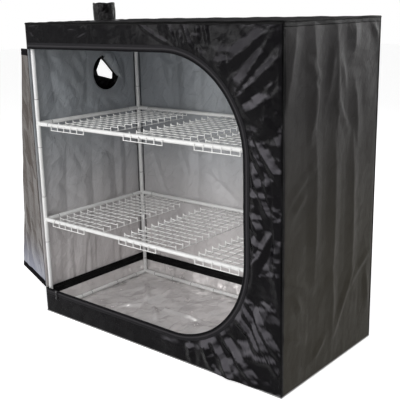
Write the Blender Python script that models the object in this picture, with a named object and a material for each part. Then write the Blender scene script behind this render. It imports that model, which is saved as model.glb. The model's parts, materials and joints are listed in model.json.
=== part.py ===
"""Indoor grow tent: a cloth cover on a steel tube frame, with wire shelves, folding door and duct sleeves.

Metres, +Z up. The origin is the centre of the footprint on the ground. +X is to the right seen from the
front, and the front faces -Y. The door hangs open at the left front corner.
"""

from math import cos, pi, radians, sin

import bmesh
import bpy
from mathutils import Matrix, Vector

# Overall size of the cover
WIDTH = 1.200
DEPTH = 0.600
HEIGHT = 1.200

# Cloth, and the running gap between neighbours
CLOTH = 0.0012
CLEAR = 0.0003
OVERRUN = 0.010

# Steel tube, its bore, and the connectors that join it
TUBE = 0.016
BORE = 0.0136
CONNECTOR = 0.017
ARM = 0.066
SPIGOT_LENGTH = 0.030
FRAME_INSET = 0.0145
ROOF_SLACK = 0.0035

# Heights of the shelf bars above the ground
LOWER_SHELF_Z = 0.4065
UPPER_SHELF_Z = 0.8065

# Cloth of the front panel that is left round the door opening: below it, above it and to its right
SILL = 0.107
HEADER = 0.098
RIGHT_BAND = 0.148
OPENING_RADIUS = 0.330
ARC_STEPS = 9

# Door folds in the shut door: the first is measured from the hinge, the second from the free edge
FIRST_FOLD_LOW = 0.330
FIRST_FOLD_HIGH = 0.080
OUTER_STRIP = 0.417

# Angles at which the open door rests
SWING_OPEN = radians(200.7)
FIRST_FOLD_OPEN = radians(54.0)
SECOND_FOLD_OPEN = radians(165.0)

# Zip tape and its slider
TAPE_WIDTH = 0.025
TAPE_THICKNESS = 0.0008
SLIDER_FROM_LEFT = 0.070
SLIDER_LENGTH = 0.014
SLIDER_HEIGHT = 0.009
SLIDER_THICKNESS = 0.0045
SLIDER_DROP = 0.0008
PULL_LENGTH = 0.034
PULL_WIDTH = 0.006
PULL_THICKNESS = 0.002
PULL_BELOW_TOP = 0.003

# Wire shelf panels
WIRE = 0.0033
PITCH = 0.038
PITCHES_WIDE = 5
PITCHES_DEEP = 12
LIP_DROP = 0.028
LIP_GAP = 0.0010
PANEL_SIDES = ("left", "middle", "right")

# The gap before each panel, from left to right, as a share of the width that the panels leave free
LOWER_GAP_SHARES = (0.037, 0.339, 0.307)
UPPER_GAP_SHARES = (0.132, 0.391, 0.189)

# Lift-out floor tray
TRAY_WALL = 0.0010
TRAY_HEIGHT = 0.105

# Side duct port in the left wall: its centre below the roof and in front of the back wall
SIDE_PORT_BELOW_ROOF = 0.220
SIDE_PORT_FROM_BACK = 0.190
SIDE_PORT_BORE = 0.150
SIDE_SLEEVE_REACH = 0.060
SIDE_FLANGE = 0.020

# Roof duct port, on the centre line of the depth
ROOF_PORT_FROM_LEFT = 0.130
ROOF_PORT_BORE = 0.086
ROOF_SLEEVE_RISE = 0.073
ROOF_FLANGE = 0.016
SLEEVE_WALL = 0.0020
FLANGE_THICKNESS = 0.0012
SLEEVE_SIDES = 20
DRAWN_SHARE = 0.94
DRAWN_AT_SHARE = 0.80

# Roof hanging bars, and the saddle that hooks over the top bars at each end
HANGING_BAR_X = {"left": -0.200, "right": 0.200}
SADDLE_WIDTH = 0.020
SADDLE_THICKNESS = 0.0025
SADDLE_DROP = 0.004

# Heights and places that follow from the sizes above
RADIUS = TUBE / 2
POST_X = WIDTH / 2 - FRAME_INSET
POST_Y = DEPTH / 2 - FRAME_INSET
TRAY_FLOOR_Z = CLOTH + CLEAR
BASE_Z = TRAY_FLOOR_Z + TRAY_WALL + CLEAR + CONNECTOR / 2
TOP_Z = HEIGHT - CLOTH - ROOF_SLACK - RADIUS
LEVELS = {"base": BASE_Z, "lower_shelf": LOWER_SHELF_Z, "upper_shelf": UPPER_SHELF_Z, "top": TOP_Z}
CORNERS = {"front_left": (-1, -1), "front_right": (1, -1), "back_left": (-1, 1), "back_right": (1, 1)}
HINGE = Vector((-WIDTH / 2, -DEPTH / 2, 0))
OPENING_RIGHT = WIDTH - RIGHT_BAND
OPENING_TOP = HEIGHT - HEADER
SECOND_FOLD = OPENING_RIGHT - OUTER_STRIP
SIDE_PORT = Vector((-WIDTH / 2, DEPTH / 2 - SIDE_PORT_FROM_BACK, HEIGHT - SIDE_PORT_BELOW_ROOF))
ROOF_PORT = Vector((ROOF_PORT_FROM_LEFT - WIDTH / 2, 0, HEIGHT))
LIP_X = (PITCHES_WIDE / 2 + 1) * PITCH
LIP_Y = POST_Y + RADIUS + LIP_GAP + WIRE / 2
PANEL_WIDTH = 2 * LIP_X + WIRE

TUBE_SIDES = 8
FLAT_TURN = pi / TUBE_SIDES
CORNER_RADIUS_SHARE = 1 / cos(FLAT_TURN)

# Colour, roughness and metallic value of each finish
FINISHES = {
    "white_steel": ((0.86, 0.86, 0.83, 1), 0.35, 0.0),
    "shelf_wire": ((0.80, 0.80, 0.77, 1), 0.35, 0.2),
    "black_cloth": ((0.015, 0.015, 0.017, 1), 0.38, 0.0),
    "wall_cloth": ((0.045, 0.043, 0.041, 1), 0.60, 0.0),
    "silver_cloth": ((0.42, 0.43, 0.44, 1), 0.40, 0.6),
    "zip_tape": ((0.010, 0.010, 0.010, 1), 0.55, 0.0),
    "slider_metal": ((0.08, 0.08, 0.08, 1), 0.35, 0.9),
    "sleeve_cloth": ((0.012, 0.012, 0.012, 1), 0.60, 0.0),
}


def clear_scene():
    """Take out whatever the scene holds."""
    for found in list(bpy.data.objects):
        bpy.data.objects.remove(found)


def material_for(finish):
    """The material of this finish, made the first time that it is asked for."""
    made = bpy.data.materials.get(finish)
    if made:
        return made
    color, roughness, metallic = FINISHES[finish]
    made = bpy.data.materials.new(finish)
    made.use_nodes = True
    shader = made.node_tree.nodes["Principled BSDF"]
    shader.inputs["Base Color"].default_value = color
    shader.inputs["Roughness"].default_value = roughness
    shader.inputs["Metallic"].default_value = metallic
    made.diffuse_color = color
    return made


def add_object(name, mesh, finish, parent=None):
    """Put a mesh into the scene as a named piece with its finish."""
    piece = bpy.data.objects.new(name, mesh)
    bpy.context.scene.collection.objects.link(piece)
    if not mesh.materials:
        mesh.materials.append(material_for(finish))
    piece.parent = parent
    return piece


def turn_to(direction):
    """The turn that brings +Z to a direction."""
    return Vector((0, 0, 1)).rotation_difference(Vector(direction)).to_matrix()


def add_axis(name, location, direction, turn, parent=None):
    """An empty on a joint's axis, with its Z along the axis, turned by an angle about it."""
    axis = bpy.data.objects.new(name, None)
    bpy.context.scene.collection.objects.link(axis)
    axis.parent = parent
    axis.location = location
    axis.rotation_euler = (turn_to(direction) @ Matrix.Rotation(turn, 3, "Z")).to_euler()
    return axis


def finished_mesh(name, bm):
    """Turn a bmesh into mesh data with its faces pointing out."""
    bmesh.ops.recalc_face_normals(bm, faces=bm.faces[:])
    mesh = bpy.data.meshes.new(name)
    bm.to_mesh(mesh)
    bm.free()
    return mesh


def box(bm, low, high):
    """Add a box between two corners."""
    low = Vector(low)
    high = Vector(high)
    place = Matrix.Translation((low + high) / 2) @ Matrix.Diagonal((high - low).to_4d())
    bmesh.ops.create_cube(bm, size=1, matrix=place)


def add_ring(bm, flat_width, z):
    """A ring of vertices round the Z axis, its flats square to X and Y."""
    reach = flat_width / 2 * CORNER_RADIUS_SHARE
    angles = [FLAT_TURN + 2 * pi * step / TUBE_SIDES for step in range(TUBE_SIDES)]
    return [bm.verts.new((reach * cos(angle), reach * sin(angle), z)) for angle in angles]


def bridge(bm, first, second):
    """Join two rings of equal count with a band of faces."""
    count = len(first)
    for step in range(count):
        after = (step + 1) % count
        bm.faces.new((first[step], first[after], second[after], second[step]))


def rod_mesh(name, sections):
    """A solid stepped rod along Z: each section is its width across flats and its height."""
    bm = bmesh.new()
    rings = [add_ring(bm, width, z) for width, z in sections]
    for first, second in zip(rings, rings[1:]):
        bridge(bm, first, second)
    bm.faces.new(rings[0][::-1])
    bm.faces.new(rings[-1])
    return finished_mesh(name, bm)


def tube_mesh(name, length):
    """A hollow tube along Z, from zero to its length."""
    bm = bmesh.new()
    outer = [add_ring(bm, TUBE, z) for z in (0, length)]
    inner = [add_ring(bm, BORE, z) for z in (0, length)]
    bridge(bm, outer[0], outer[1])
    bridge(bm, inner[0], inner[1])
    bridge(bm, outer[0], inner[0])
    bridge(bm, outer[1], inner[1])
    return finished_mesh(name, bm)


def plate_mesh(name, outline, thickness, normal):
    """A flat plate: the outline's points are extruded by the thickness along the normal."""
    bm = bmesh.new()
    face = bm.faces.new([bm.verts.new(point) for point in outline])
    pushed = bmesh.ops.extrude_face_region(bm, geom=[face])
    moved = [item for item in pushed["geom"] if isinstance(item, bmesh.types.BMVert)]
    bmesh.ops.translate(bm, verts=moved, vec=Vector(normal) * thickness)
    return finished_mesh(name, bm)


def boolean(mesh, other, operation):
    """The mesh joined with another, or cut by it."""
    target = add_object("boolean_target", mesh, "white_steel")
    tool = add_object("boolean_tool", other, "white_steel")
    step = target.modifiers.new("step", "BOOLEAN")
    step.operation = operation
    step.object = tool
    graph = bpy.context.evaluated_depsgraph_get()
    result = bpy.data.meshes.new_from_object(target.evaluated_get(graph))
    for used in (target, tool):
        bpy.data.objects.remove(used)
    return result


def turned(mesh, direction):
    """A copy of a mesh made along Z, turned to run along another direction."""
    copy = mesh.copy()
    copy.transform(turn_to(direction).to_4x4())
    return copy


def arm_mesh():
    """A connector's arm along Z: the part that shows, then the spigot that goes into a tube."""
    spigot = BORE - 2 * CLEAR
    return rod_mesh("arm", [(TUBE, 0), (TUBE, ARM), (spigot, ARM), (spigot, ARM + SPIGOT_LENGTH)])


def connector_mesh(name, directions):
    """A connector: a small block with an arm out of it in each direction."""
    bm = bmesh.new()
    box(bm, [-CONNECTOR / 2] * 3, [CONNECTOR / 2] * 3)
    joined = finished_mesh(name, bm)
    arm = arm_mesh()
    for direction in directions:
        joined = boolean(joined, turned(arm, direction), "UNION")
    return joined


def corner_post_mesh(name, directions, up, length):
    """A post with a corner connector at one end: the bore opens at the free end of the post."""
    joined = connector_mesh(name, directions)
    post = rod_mesh("post", [(TUBE, 0), (TUBE, length)])
    bore = rod_mesh("bore", [(BORE, ARM), (BORE, length + OVERRUN)])
    joined = boolean(joined, turned(post, (0, 0, up)), "UNION")
    return boolean(joined, turned(bore, (0, 0, up)), "DIFFERENCE")


def add_posts():
    """Four corner posts, each in three lengths, with the tee connectors between them."""
    tube_end = ARM + CLEAR
    lower_length = LOWER_SHELF_Z - tube_end - BASE_Z
    upper_length = TOP_Z - UPPER_SHELF_Z - tube_end
    middle_length = UPPER_SHELF_Z - LOWER_SHELF_Z - 2 * tube_end
    middle = tube_mesh("middle_post", middle_length)
    for corner, (side_x, side_y) in CORNERS.items():
        place = Vector((side_x * POST_X, side_y * POST_Y, 0))
        inward = [(-side_x, 0, 0), (0, -side_y, 0)]
        lower = corner_post_mesh("lower_post", inward, 1, lower_length)
        post = add_object(f"lower_post_{corner}", lower, "white_steel")
        post.location = place + Vector((0, 0, BASE_Z))
        post = add_object(f"middle_post_{corner}", middle, "white_steel")
        post.location = place + Vector((0, 0, LOWER_SHELF_Z + tube_end))
        upper = corner_post_mesh("upper_post", inward, -1, upper_length)
        post = add_object(f"upper_post_{corner}", upper, "white_steel")
        post.location = place + Vector((0, 0, TOP_Z))
        tee = connector_mesh("tee", inward + [(0, 0, 1), (0, 0, -1)])
        for level in ("lower_shelf", "upper_shelf"):
            piece = add_object(f"{level}_tee_{corner}", tee, "white_steel")
            piece.location = place + Vector((0, 0, LEVELS[level]))


def add_bars():
    """The front, back, left and right bars of each of the four levels."""
    long_length = 2 * (POST_X - ARM - CLEAR)
    short_length = 2 * (POST_Y - ARM - CLEAR)
    long_bar = tube_mesh("long_bar", long_length)
    short_bar = tube_mesh("short_bar", short_length)
    for level, z in LEVELS.items():
        for side, sign in (("front", -1), ("back", 1)):
            bar = add_object(f"{level}_bar_{side}", long_bar, "white_steel")
            bar.location = (-long_length / 2, sign * POST_Y, z)
            bar.rotation_euler = (0, pi / 2, 0)
        for side, sign in (("left", -1), ("right", 1)):
            bar = add_object(f"{level}_bar_{side}", short_bar, "white_steel")
            bar.location = (sign * POST_X, short_length / 2, z)
            bar.rotation_euler = (pi / 2, 0, 0)


def saddle_mesh(sign):
    """The hook over a top bar: one leg outside it, a bridge over it, one leg down to mid height inside."""
    inside = RADIUS + CLEAR
    outside = inside + SADDLE_THICKNESS
    outline = [
        (0, sign * outside, -SADDLE_DROP),
        (0, sign * outside, outside),
        (0, -sign * outside, outside),
        (0, -sign * outside, 0),
        (0, -sign * inside, 0),
        (0, -sign * inside, inside),
        (0, sign * inside, inside),
        (0, sign * inside, -SADDLE_DROP),
    ]
    mesh = plate_mesh("saddle", outline, SADDLE_WIDTH, (1, 0, 0))
    mesh.transform(Matrix.Translation((-SADDLE_WIDTH / 2, sign * POST_Y, 0)))
    return mesh


def add_hanging_bars():
    """Two bars under the roof that hook over the front and back top bars and slide along them."""
    reach = POST_Y - RADIUS - CLEAR - SADDLE_THICKNESS / 2
    bar = tube_mesh("hanging_bar", 2 * reach)
    bar.transform(Matrix.Rotation(pi / 2, 4, "X") @ Matrix.Translation((0, 0, -reach)))
    for sign in (-1, 1):
        bar = boolean(bar, saddle_mesh(sign), "UNION")
    for side, x in HANGING_BAR_X.items():
        piece = add_object(f"roof_hanging_bar_{side}", bar, "white_steel")
        piece.location = (x, 0, TOP_Z)


def flat_grid():
    """The cells between the wires of one shelf panel, laid flat with its four lips unfolded."""
    half_grid = PITCHES_WIDE * PITCH / 2
    half_deep = PITCHES_DEEP * PITCH / 2
    columns = [step * PITCH - half_grid for step in range(PITCHES_WIDE + 1)]
    rows = [step * PITCH - half_deep for step in range(PITCHES_DEEP + 1)]
    bm = bmesh.new()
    made = {}

    def cell(points):
        keys = [(round(x / CLEAR), round(y / CLEAR)) for x, y in points]
        for key, (x, y) in zip(keys, points):
            if key not in made:
                made[key] = bm.verts.new((x, y, 0))
        bm.faces.new([made[key] for key in keys])

    for left, right in zip(columns, columns[1:]):
        for near, far in zip(rows, rows[1:]):
            cell([(left, near), (right, near), (right, far), (left, far)])
        for side in (-1, 1):
            out = [side * y for y in (half_deep, LIP_Y, LIP_Y + LIP_DROP)]
            cell([(left, y) for y in out] + [(right, y) for y in out[::-1]])
    for near, far in zip(rows, rows[1:]):
        for side in (-1, 1):
            out = [side * x for x in (half_grid, LIP_X, LIP_X + LIP_DROP)]
            cell([(x, near) for x in out] + [(x, far) for x in out[::-1]])
    return finished_mesh("shelf_grid", bm)


def fold_lips(mesh, index, line):
    """Fold what lies past a line on both sides down through a right angle, with a mitre on the line."""
    for vertex in mesh.vertices:
        side = 1 if vertex.co[index] > 0 else -1
        past = side * vertex.co[index] - line
        if past > -CLEAR:
            vertex.co[index] = side * (line + vertex.co.z)
        if past > CLEAR:
            vertex.co.z = -past


def shelf_mesh():
    """A bent grid of wires: lips over the front and back bars, and lips at both sides."""
    grid = add_object("shelf_grid", flat_grid(), "shelf_wire")
    wires = grid.modifiers.new("wires", "WIREFRAME")
    wires.thickness = WIRE
    wires.use_even_offset = True
    wires.use_boundary = True
    mesh = bpy.data.meshes.new_from_object(grid.evaluated_get(bpy.context.evaluated_depsgraph_get()))
    bpy.data.objects.remove(grid)
    fold_lips(mesh, 1, LIP_Y)
    fold_lips(mesh, 0, LIP_X)
    return mesh


def add_shelf_panels():
    """Three wire panels to each shelf, resting on the front and back bars."""
    grid = shelf_mesh()
    half_clear = POST_X - RADIUS
    free = 2 * half_clear - len(PANEL_SIDES) * PANEL_WIDTH
    for level, gap_shares in (("lower_shelf", LOWER_GAP_SHARES), ("upper_shelf", UPPER_GAP_SHARES)):
        edge = -half_clear
        for side, gap_share in zip(PANEL_SIDES, gap_shares):
            left = edge + gap_share * free
            edge = left + PANEL_WIDTH
            panel = add_object(f"{level}_panel_{side}", grid, "shelf_wire")
            panel.location = ((left + edge) / 2, 0, LEVELS[level] + RADIUS + CLEAR + WIRE / 2)


def arc(center_x, center_z, radius, start, end):
    """Points along an arc in the front plane, both ends included."""
    turns = [start + (end - start) * step / ARC_STEPS for step in range(ARC_STEPS + 1)]
    return [(center_x + radius * cos(turn), center_z + radius * sin(turn)) for turn in turns]


def opening_edge(grow):
    """The opening's edge from its bottom left to its top left, grown outward by a distance."""
    left = -WIDTH / 2
    x = left + OPENING_RIGHT - OPENING_RADIUS
    low = SILL + OPENING_RADIUS
    high = OPENING_TOP - OPENING_RADIUS
    radius = OPENING_RADIUS + grow
    edge = [(left, SILL - grow)]
    edge += arc(x, low, radius, -pi / 2, 0)
    edge += arc(x, high, radius, 0, pi / 2)
    edge.append((left, OPENING_TOP + grow))
    return edge


def add_front_panel():
    """The front of the cover: cloth below, to the right of and above the opening."""
    low = CLOTH + CLEAR
    high = HEIGHT - CLOTH - CLEAR
    right = WIDTH / 2
    outline = [(-right, low), (right, low), (right, high), (-right, high)]
    outline += opening_edge(0)[::-1]
    points = [(x, -DEPTH / 2, z) for x, z in outline]
    add_object("front_panel", plate_mesh("front_panel", points, CLOTH, (0, 1, 0)), "black_cloth")


def add_zip_tape():
    """The fixed half of the zip, sewn round the opening on the outside."""
    outline = opening_edge(TAPE_WIDTH) + opening_edge(0)[::-1]
    y = -DEPTH / 2 - CLEAR
    points = [(x, y, z) for x, z in outline]
    add_object("zip_tape", plate_mesh("zip_tape", points, TAPE_THICKNESS, (0, -1, 0)), "zip_tape")


def add_zip_slider():
    """The slider on the bottom run of the zip, with its pull hanging from it."""
    front = -CLEAR
    back = front - SLIDER_THICKNESS
    bm = bmesh.new()
    box(bm, (-SLIDER_LENGTH / 2, back, -SLIDER_HEIGHT), (SLIDER_LENGTH / 2, front, 0))
    body = finished_mesh("slider", bm)
    bm = bmesh.new()
    half = PULL_WIDTH / 2
    pull_y = back - PULL_THICKNESS / 2
    low = -PULL_BELOW_TOP - PULL_LENGTH
    box(bm, (-half, pull_y, low), (half, pull_y + PULL_THICKNESS, -PULL_BELOW_TOP))
    mesh = boolean(body, finished_mesh("pull", bm), "UNION")
    slider = add_object("zip_slider", mesh, "slider_metal")
    tape_front = -DEPTH / 2 - CLEAR - TAPE_THICKNESS
    slider.location = (SLIDER_FROM_LEFT - WIDTH / 2, tape_front, SILL - SLIDER_DROP)


def hole_cutter(radius, direction, place):
    """A round cutter through a sheet of cloth."""
    bm = bmesh.new()
    sizes = {"radius1": radius, "radius2": radius, "depth": 2 * OVERRUN}
    bmesh.ops.create_cone(bm, cap_ends=True, segments=SLEEVE_SIDES, **sizes)
    cutter = turned(finished_mesh("cutter", bm), direction)
    cutter.transform(Matrix.Translation(place))
    return cutter


def add_walls():
    """The left wall with its duct port, the back wall and the right wall."""
    low = CLOTH + CLEAR
    high = HEIGHT - CLOTH - CLEAR
    deep = DEPTH / 2 - CLOTH - CLEAR
    for side, sign in (("left", -1), ("right", 1)):
        x = sign * WIDTH / 2
        points = [(x, y, z) for y, z in ((-deep, low), (deep, low), (deep, high), (-deep, high))]
        mesh = plate_mesh(f"{side}_wall", points, CLOTH, (-sign, 0, 0))
        if side == "left":
            mesh = boolean(mesh, hole_cutter(SIDE_PORT_BORE / 2, (1, 0, 0), SIDE_PORT), "DIFFERENCE")
        add_object(f"{side}_wall", mesh, "wall_cloth")
    wide = WIDTH / 2
    points = [(x, DEPTH / 2, z) for x, z in ((-wide, low), (wide, low), (wide, high), (-wide, high))]
    add_object("back_wall", plate_mesh("back_wall", points, CLOTH, (0, -1, 0)), "wall_cloth")


def add_floor_and_roof():
    """The floor panel on the ground, and the roof with its duct port."""
    wide = WIDTH / 2
    deep = DEPTH / 2
    square = ((-wide, -deep), (wide, -deep), (wide, deep), (-wide, deep))
    floor = plate_mesh("floor_panel", [(x, y, 0) for x, y in square], CLOTH, (0, 0, 1))
    add_object("floor_panel", floor, "black_cloth")
    roof = plate_mesh("roof_panel", [(x, y, HEIGHT) for x, y in square], CLOTH, (0, 0, -1))
    roof = boolean(roof, hole_cutter(ROOF_PORT_BORE / 2, (0, 0, 1), ROOF_PORT), "DIFFERENCE")
    add_object("roof_panel", roof, "black_cloth")


def add_tray():
    """The lift-out floor tray: an open box that the base frame stands in."""
    gap = CLOTH + CLEAR
    outer_x = WIDTH / 2 - gap
    outer_y = DEPTH / 2 - gap
    bm = bmesh.new()
    box(bm, (-outer_x, -outer_y, TRAY_FLOOR_Z), (outer_x, outer_y, TRAY_HEIGHT))
    top = [face for face in bm.faces if face.calc_center_median().z > TRAY_HEIGHT - CLEAR]
    bmesh.ops.inset_region(bm, faces=top, thickness=TRAY_WALL)
    pushed = bmesh.ops.extrude_face_region(bm, geom=top)
    bmesh.ops.delete(bm, geom=top, context="FACES")
    moved = [item for item in pushed["geom"] if isinstance(item, bmesh.types.BMVert)]
    drop = TRAY_HEIGHT - TRAY_FLOOR_Z - TRAY_WALL
    bmesh.ops.translate(bm, verts=moved, vec=(0, 0, -drop))
    add_object("floor_tray", finished_mesh("floor_tray", bm), "silver_cloth")


def sleeve_mesh(name, bore, rise, flange):
    """A duct sleeve along Z: a flange on the cloth, a tube, and a mouth drawn in a little by its hem."""
    inner = bore / 2
    outer = inner + SLEEVE_WALL
    profile = [
        (outer + flange, 0),
        (outer + flange, FLANGE_THICKNESS),
        (outer, FLANGE_THICKNESS),
        (outer, rise * DRAWN_AT_SHARE),
        (outer * DRAWN_SHARE, rise),
        (outer * DRAWN_SHARE - SLEEVE_WALL, rise),
        (inner, rise * DRAWN_AT_SHARE),
        (inner, 0),
    ]
    bm = bmesh.new()
    rings = []
    for radius, z in profile:
        turns = [2 * pi * step / SLEEVE_SIDES for step in range(SLEEVE_SIDES)]
        rings.append([bm.verts.new((radius * cos(turn), radius * sin(turn), z)) for turn in turns])
    for first, second in zip(rings, rings[1:] + rings[:1]):
        bridge(bm, first, second)
    mesh = finished_mesh(name, bm)
    mesh.shade_smooth()
    mesh.set_sharp_from_angle(angle=radians(40.0))
    return mesh


def add_sleeves():
    """The upright sleeve on the roof, and the sleeve out of the left wall."""
    roof = sleeve_mesh("roof_duct_sleeve", ROOF_PORT_BORE, ROOF_SLEEVE_RISE, ROOF_FLANGE)
    sleeve = add_object("roof_duct_sleeve", roof, "sleeve_cloth")
    sleeve.location = ROOF_PORT + Vector((0, 0, CLEAR))
    side = sleeve_mesh("side_duct_sleeve", SIDE_PORT_BORE, SIDE_SLEEVE_REACH, SIDE_FLANGE)
    sleeve = add_object("side_duct_sleeve", side, "sleeve_cloth")
    sleeve.location = SIDE_PORT - Vector((CLEAR, 0, 0))
    sleeve.rotation_euler = (0, -pi / 2, 0)


def first_fold_at(z):
    """How far the slanted first fold lies from the hinge at this height."""
    share = (z - SILL) / (OPENING_TOP - SILL)
    return FIRST_FOLD_LOW + (FIRST_FOLD_HIGH - FIRST_FOLD_LOW) * share


def strip_mesh(name, outline, to_local):
    """One strip of the shut door, written in the frame of the axis that carries it."""
    points = [(s, 0, z) for s, z in outline]
    mesh = plate_mesh(name, points, CLOTH, (0, 1, 0))
    mesh.transform(to_local)
    return mesh


def door_outlines():
    """The shut door's inner, middle and outer strips: outlines of distance from the hinge and height."""
    low = SILL + CLEAR
    high = OPENING_TOP - CLEAR
    gap = CLEAR / 2
    radius = OPENING_RADIUS - CLEAR
    center = OPENING_RIGHT - OPENING_RADIUS
    near_low = first_fold_at(low)
    near_high = first_fold_at(high)
    second = SECOND_FOLD - gap
    inner = [(CLEAR, low), (near_low - gap, low), (near_high - gap, high), (CLEAR, high)]
    middle = [(near_low + gap, low), (second, low), (second, high), (near_high + gap, high)]
    outer = [(SECOND_FOLD + gap, low)]
    outer += arc(center, SILL + OPENING_RADIUS, radius, -pi / 2, 0)
    outer += arc(center, OPENING_TOP - OPENING_RADIUS, radius, 0, pi / 2)
    outer.append((SECOND_FOLD + gap, high))
    return inner, middle, outer


def add_door():
    """The door in three strips: it swings at the left post and folds on two lines of its outer face."""
    inner, middle, outer = door_outlines()
    upright = Vector((0, 0, 1))
    swing = add_axis("door_swing_axis", HINGE, upright, -SWING_OPEN)
    add_object("door_inner", strip_mesh("door_inner", inner, Matrix.Identity(4)), "silver_cloth", swing)
    foot = Vector((FIRST_FOLD_LOW, 0, SILL))
    head = Vector((FIRST_FOLD_HIGH, 0, OPENING_TOP))
    first = add_axis("door_first_fold_axis", foot, head - foot, -FIRST_FOLD_OPEN, swing)
    shut_first = Matrix.Translation(foot) @ turn_to(head - foot).to_4x4()
    to_first = shut_first.inverted()
    add_object("door_middle", strip_mesh("door_middle", middle, to_first), "silver_cloth", first)
    foot = to_first @ Vector((SECOND_FOLD, 0, SILL))
    up = to_first.to_3x3() @ upright
    second = add_axis("door_second_fold_axis", foot, up, -SECOND_FOLD_OPEN, first)
    to_second = (shut_first @ Matrix.Translation(foot) @ turn_to(up).to_4x4()).inverted()
    add_object("door_outer", strip_mesh("door_outer", outer, to_second), "black_cloth", second)


def main():
    clear_scene()
    add_posts()
    add_bars()
    add_hanging_bars()
    add_shelf_panels()
    add_front_panel()
    add_walls()
    add_floor_and_roof()
    add_tray()
    add_zip_tape()
    add_zip_slider()
    add_sleeves()
    add_door()


main()
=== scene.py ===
# %% [markdown]
# An indoor grow tent is a light-tight cloth cover on a frame of steel tubes, with wire shelves inside.
# The imported model is the fixed frame of this scene: it says where each piece is and what it rides on.
# This script only dresses it, so the box of the bare model is kept.

# %% Load the imported model and measure it
import json
import math

import bpy
import numpy as np
from mathutils import Matrix, Vector


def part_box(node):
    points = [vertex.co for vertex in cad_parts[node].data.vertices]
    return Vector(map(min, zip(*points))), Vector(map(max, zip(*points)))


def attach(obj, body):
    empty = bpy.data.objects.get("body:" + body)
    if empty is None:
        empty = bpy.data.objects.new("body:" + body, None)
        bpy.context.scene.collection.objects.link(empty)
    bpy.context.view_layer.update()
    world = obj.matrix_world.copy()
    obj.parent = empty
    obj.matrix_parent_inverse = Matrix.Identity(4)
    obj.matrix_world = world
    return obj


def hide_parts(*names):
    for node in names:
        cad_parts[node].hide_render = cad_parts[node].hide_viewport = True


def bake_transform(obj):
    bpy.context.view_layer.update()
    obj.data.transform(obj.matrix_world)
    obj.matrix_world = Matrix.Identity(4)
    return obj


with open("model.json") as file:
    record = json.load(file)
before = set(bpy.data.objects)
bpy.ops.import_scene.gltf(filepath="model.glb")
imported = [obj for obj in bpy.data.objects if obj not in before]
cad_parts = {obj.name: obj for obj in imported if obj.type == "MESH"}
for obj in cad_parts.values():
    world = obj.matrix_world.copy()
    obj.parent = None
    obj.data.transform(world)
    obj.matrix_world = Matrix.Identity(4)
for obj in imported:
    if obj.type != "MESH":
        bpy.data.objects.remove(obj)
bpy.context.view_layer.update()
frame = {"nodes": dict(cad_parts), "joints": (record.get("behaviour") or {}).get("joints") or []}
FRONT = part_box("front_panel")[0].y
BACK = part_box("back_wall")[1].y
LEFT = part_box("left_wall")[0].x
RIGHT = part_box("right_wall")[1].x
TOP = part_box("roof_panel")[1].z
WIDTH = RIGHT - LEFT
DEPTH = BACK - FRONT
CLOTH = 0.0010

# %% [markdown]
# The camera stands in front and to the right of the tent, a little above its roof, and looks slightly
# down. A long lens keeps the posts almost parallel. The small shift only centres the picture.

# %% Set up the camera
CAMERA_PLACE = (1.805, -2.103, 1.242)
CAMERA_TURN = 40.62
CAMERA_TILT = 14.67
CAMERA_ROLL = -1.375
CAMERA_LENS = 66.0
CAMERA_SHIFT = 0.00725
camera_data = bpy.data.cameras.new("camera")
camera_data.lens = CAMERA_LENS
camera_data.shift_x = CAMERA_SHIFT
camera = bpy.data.objects.new("camera", camera_data)
bpy.context.scene.collection.objects.link(camera)
turn = Matrix.Rotation(math.radians(CAMERA_TURN), 4, "Z")
tilt = Matrix.Rotation(math.radians(90 - CAMERA_TILT), 4, "X")
roll = Matrix.Rotation(math.radians(CAMERA_ROLL), 4, "Z")
camera.matrix_world = Matrix.Translation(CAMERA_PLACE) @ turn @ tilt @ roll
bpy.context.scene.camera = camera
print("camera", CAMERA_PLACE, "lens", CAMERA_LENS)

# %% [markdown]
# Several finishes share the same effects: threads, crumpled foil, handling marks and the skin of powder
# paint. Each effect is a node group, built once. It gives out a height or a mask, and the shader itself
# stays in the material, where its plain numbers are set on its own sockets.

# %% Small tools for nodes
def add_node(tree, kind, settings=None, **inputs):
    """A node with its settings, and its inputs set to a value or linked to a socket."""
    node = tree.nodes.new(kind)
    for label, value in (settings or {}).items():
        setattr(node, label, value)
    for label, value in inputs.items():
        index = int(label[1:]) if label[0] == "i" and label[1:].isdigit() else label.replace("_", " ")
        if isinstance(value, bpy.types.NodeSocket):
            tree.links.new(value, node.inputs[index])
        else:
            node.inputs[index].default_value = value
    return node


def math_node(tree, operation, first, second=0.0):
    """One step of arithmetic."""
    return add_node(tree, "ShaderNodeMath", {"operation": operation}, i0=first, i1=second).outputs[0]


def vector_node(tree, operation, first, second, output="Vector"):
    """One step of arithmetic with vectors."""
    node = add_node(tree, "ShaderNodeVectorMath", {"operation": operation}, i0=first, i1=second)
    return node.outputs[output]


def axis_node(tree, place, axis):
    """One coordinate of a place."""
    return add_node(tree, "ShaderNodeSeparateXYZ", None, i0=place).outputs[axis]


def start_effect(name, coordinates, output, **values):
    """A new node group with float inputs, what it is given, and the place that it works on."""
    group = bpy.data.node_groups.new(name, "ShaderNodeTree")
    for label, value in values.items():
        socket = group.interface.new_socket(name=label, in_out="INPUT", socket_type="NodeSocketFloat")
        socket.default_value = value
    group.interface.new_socket(name=output, in_out="OUTPUT", socket_type="NodeSocketFloat")
    place = add_node(group, "ShaderNodeTexCoord").outputs[coordinates]
    return group, group.nodes.new("NodeGroupInput").outputs, place


def end_effect(group, value):
    """The finished node group, which gives out this value."""
    group.links.new(value, group.nodes.new("NodeGroupOutput").inputs[0])
    return group


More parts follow.
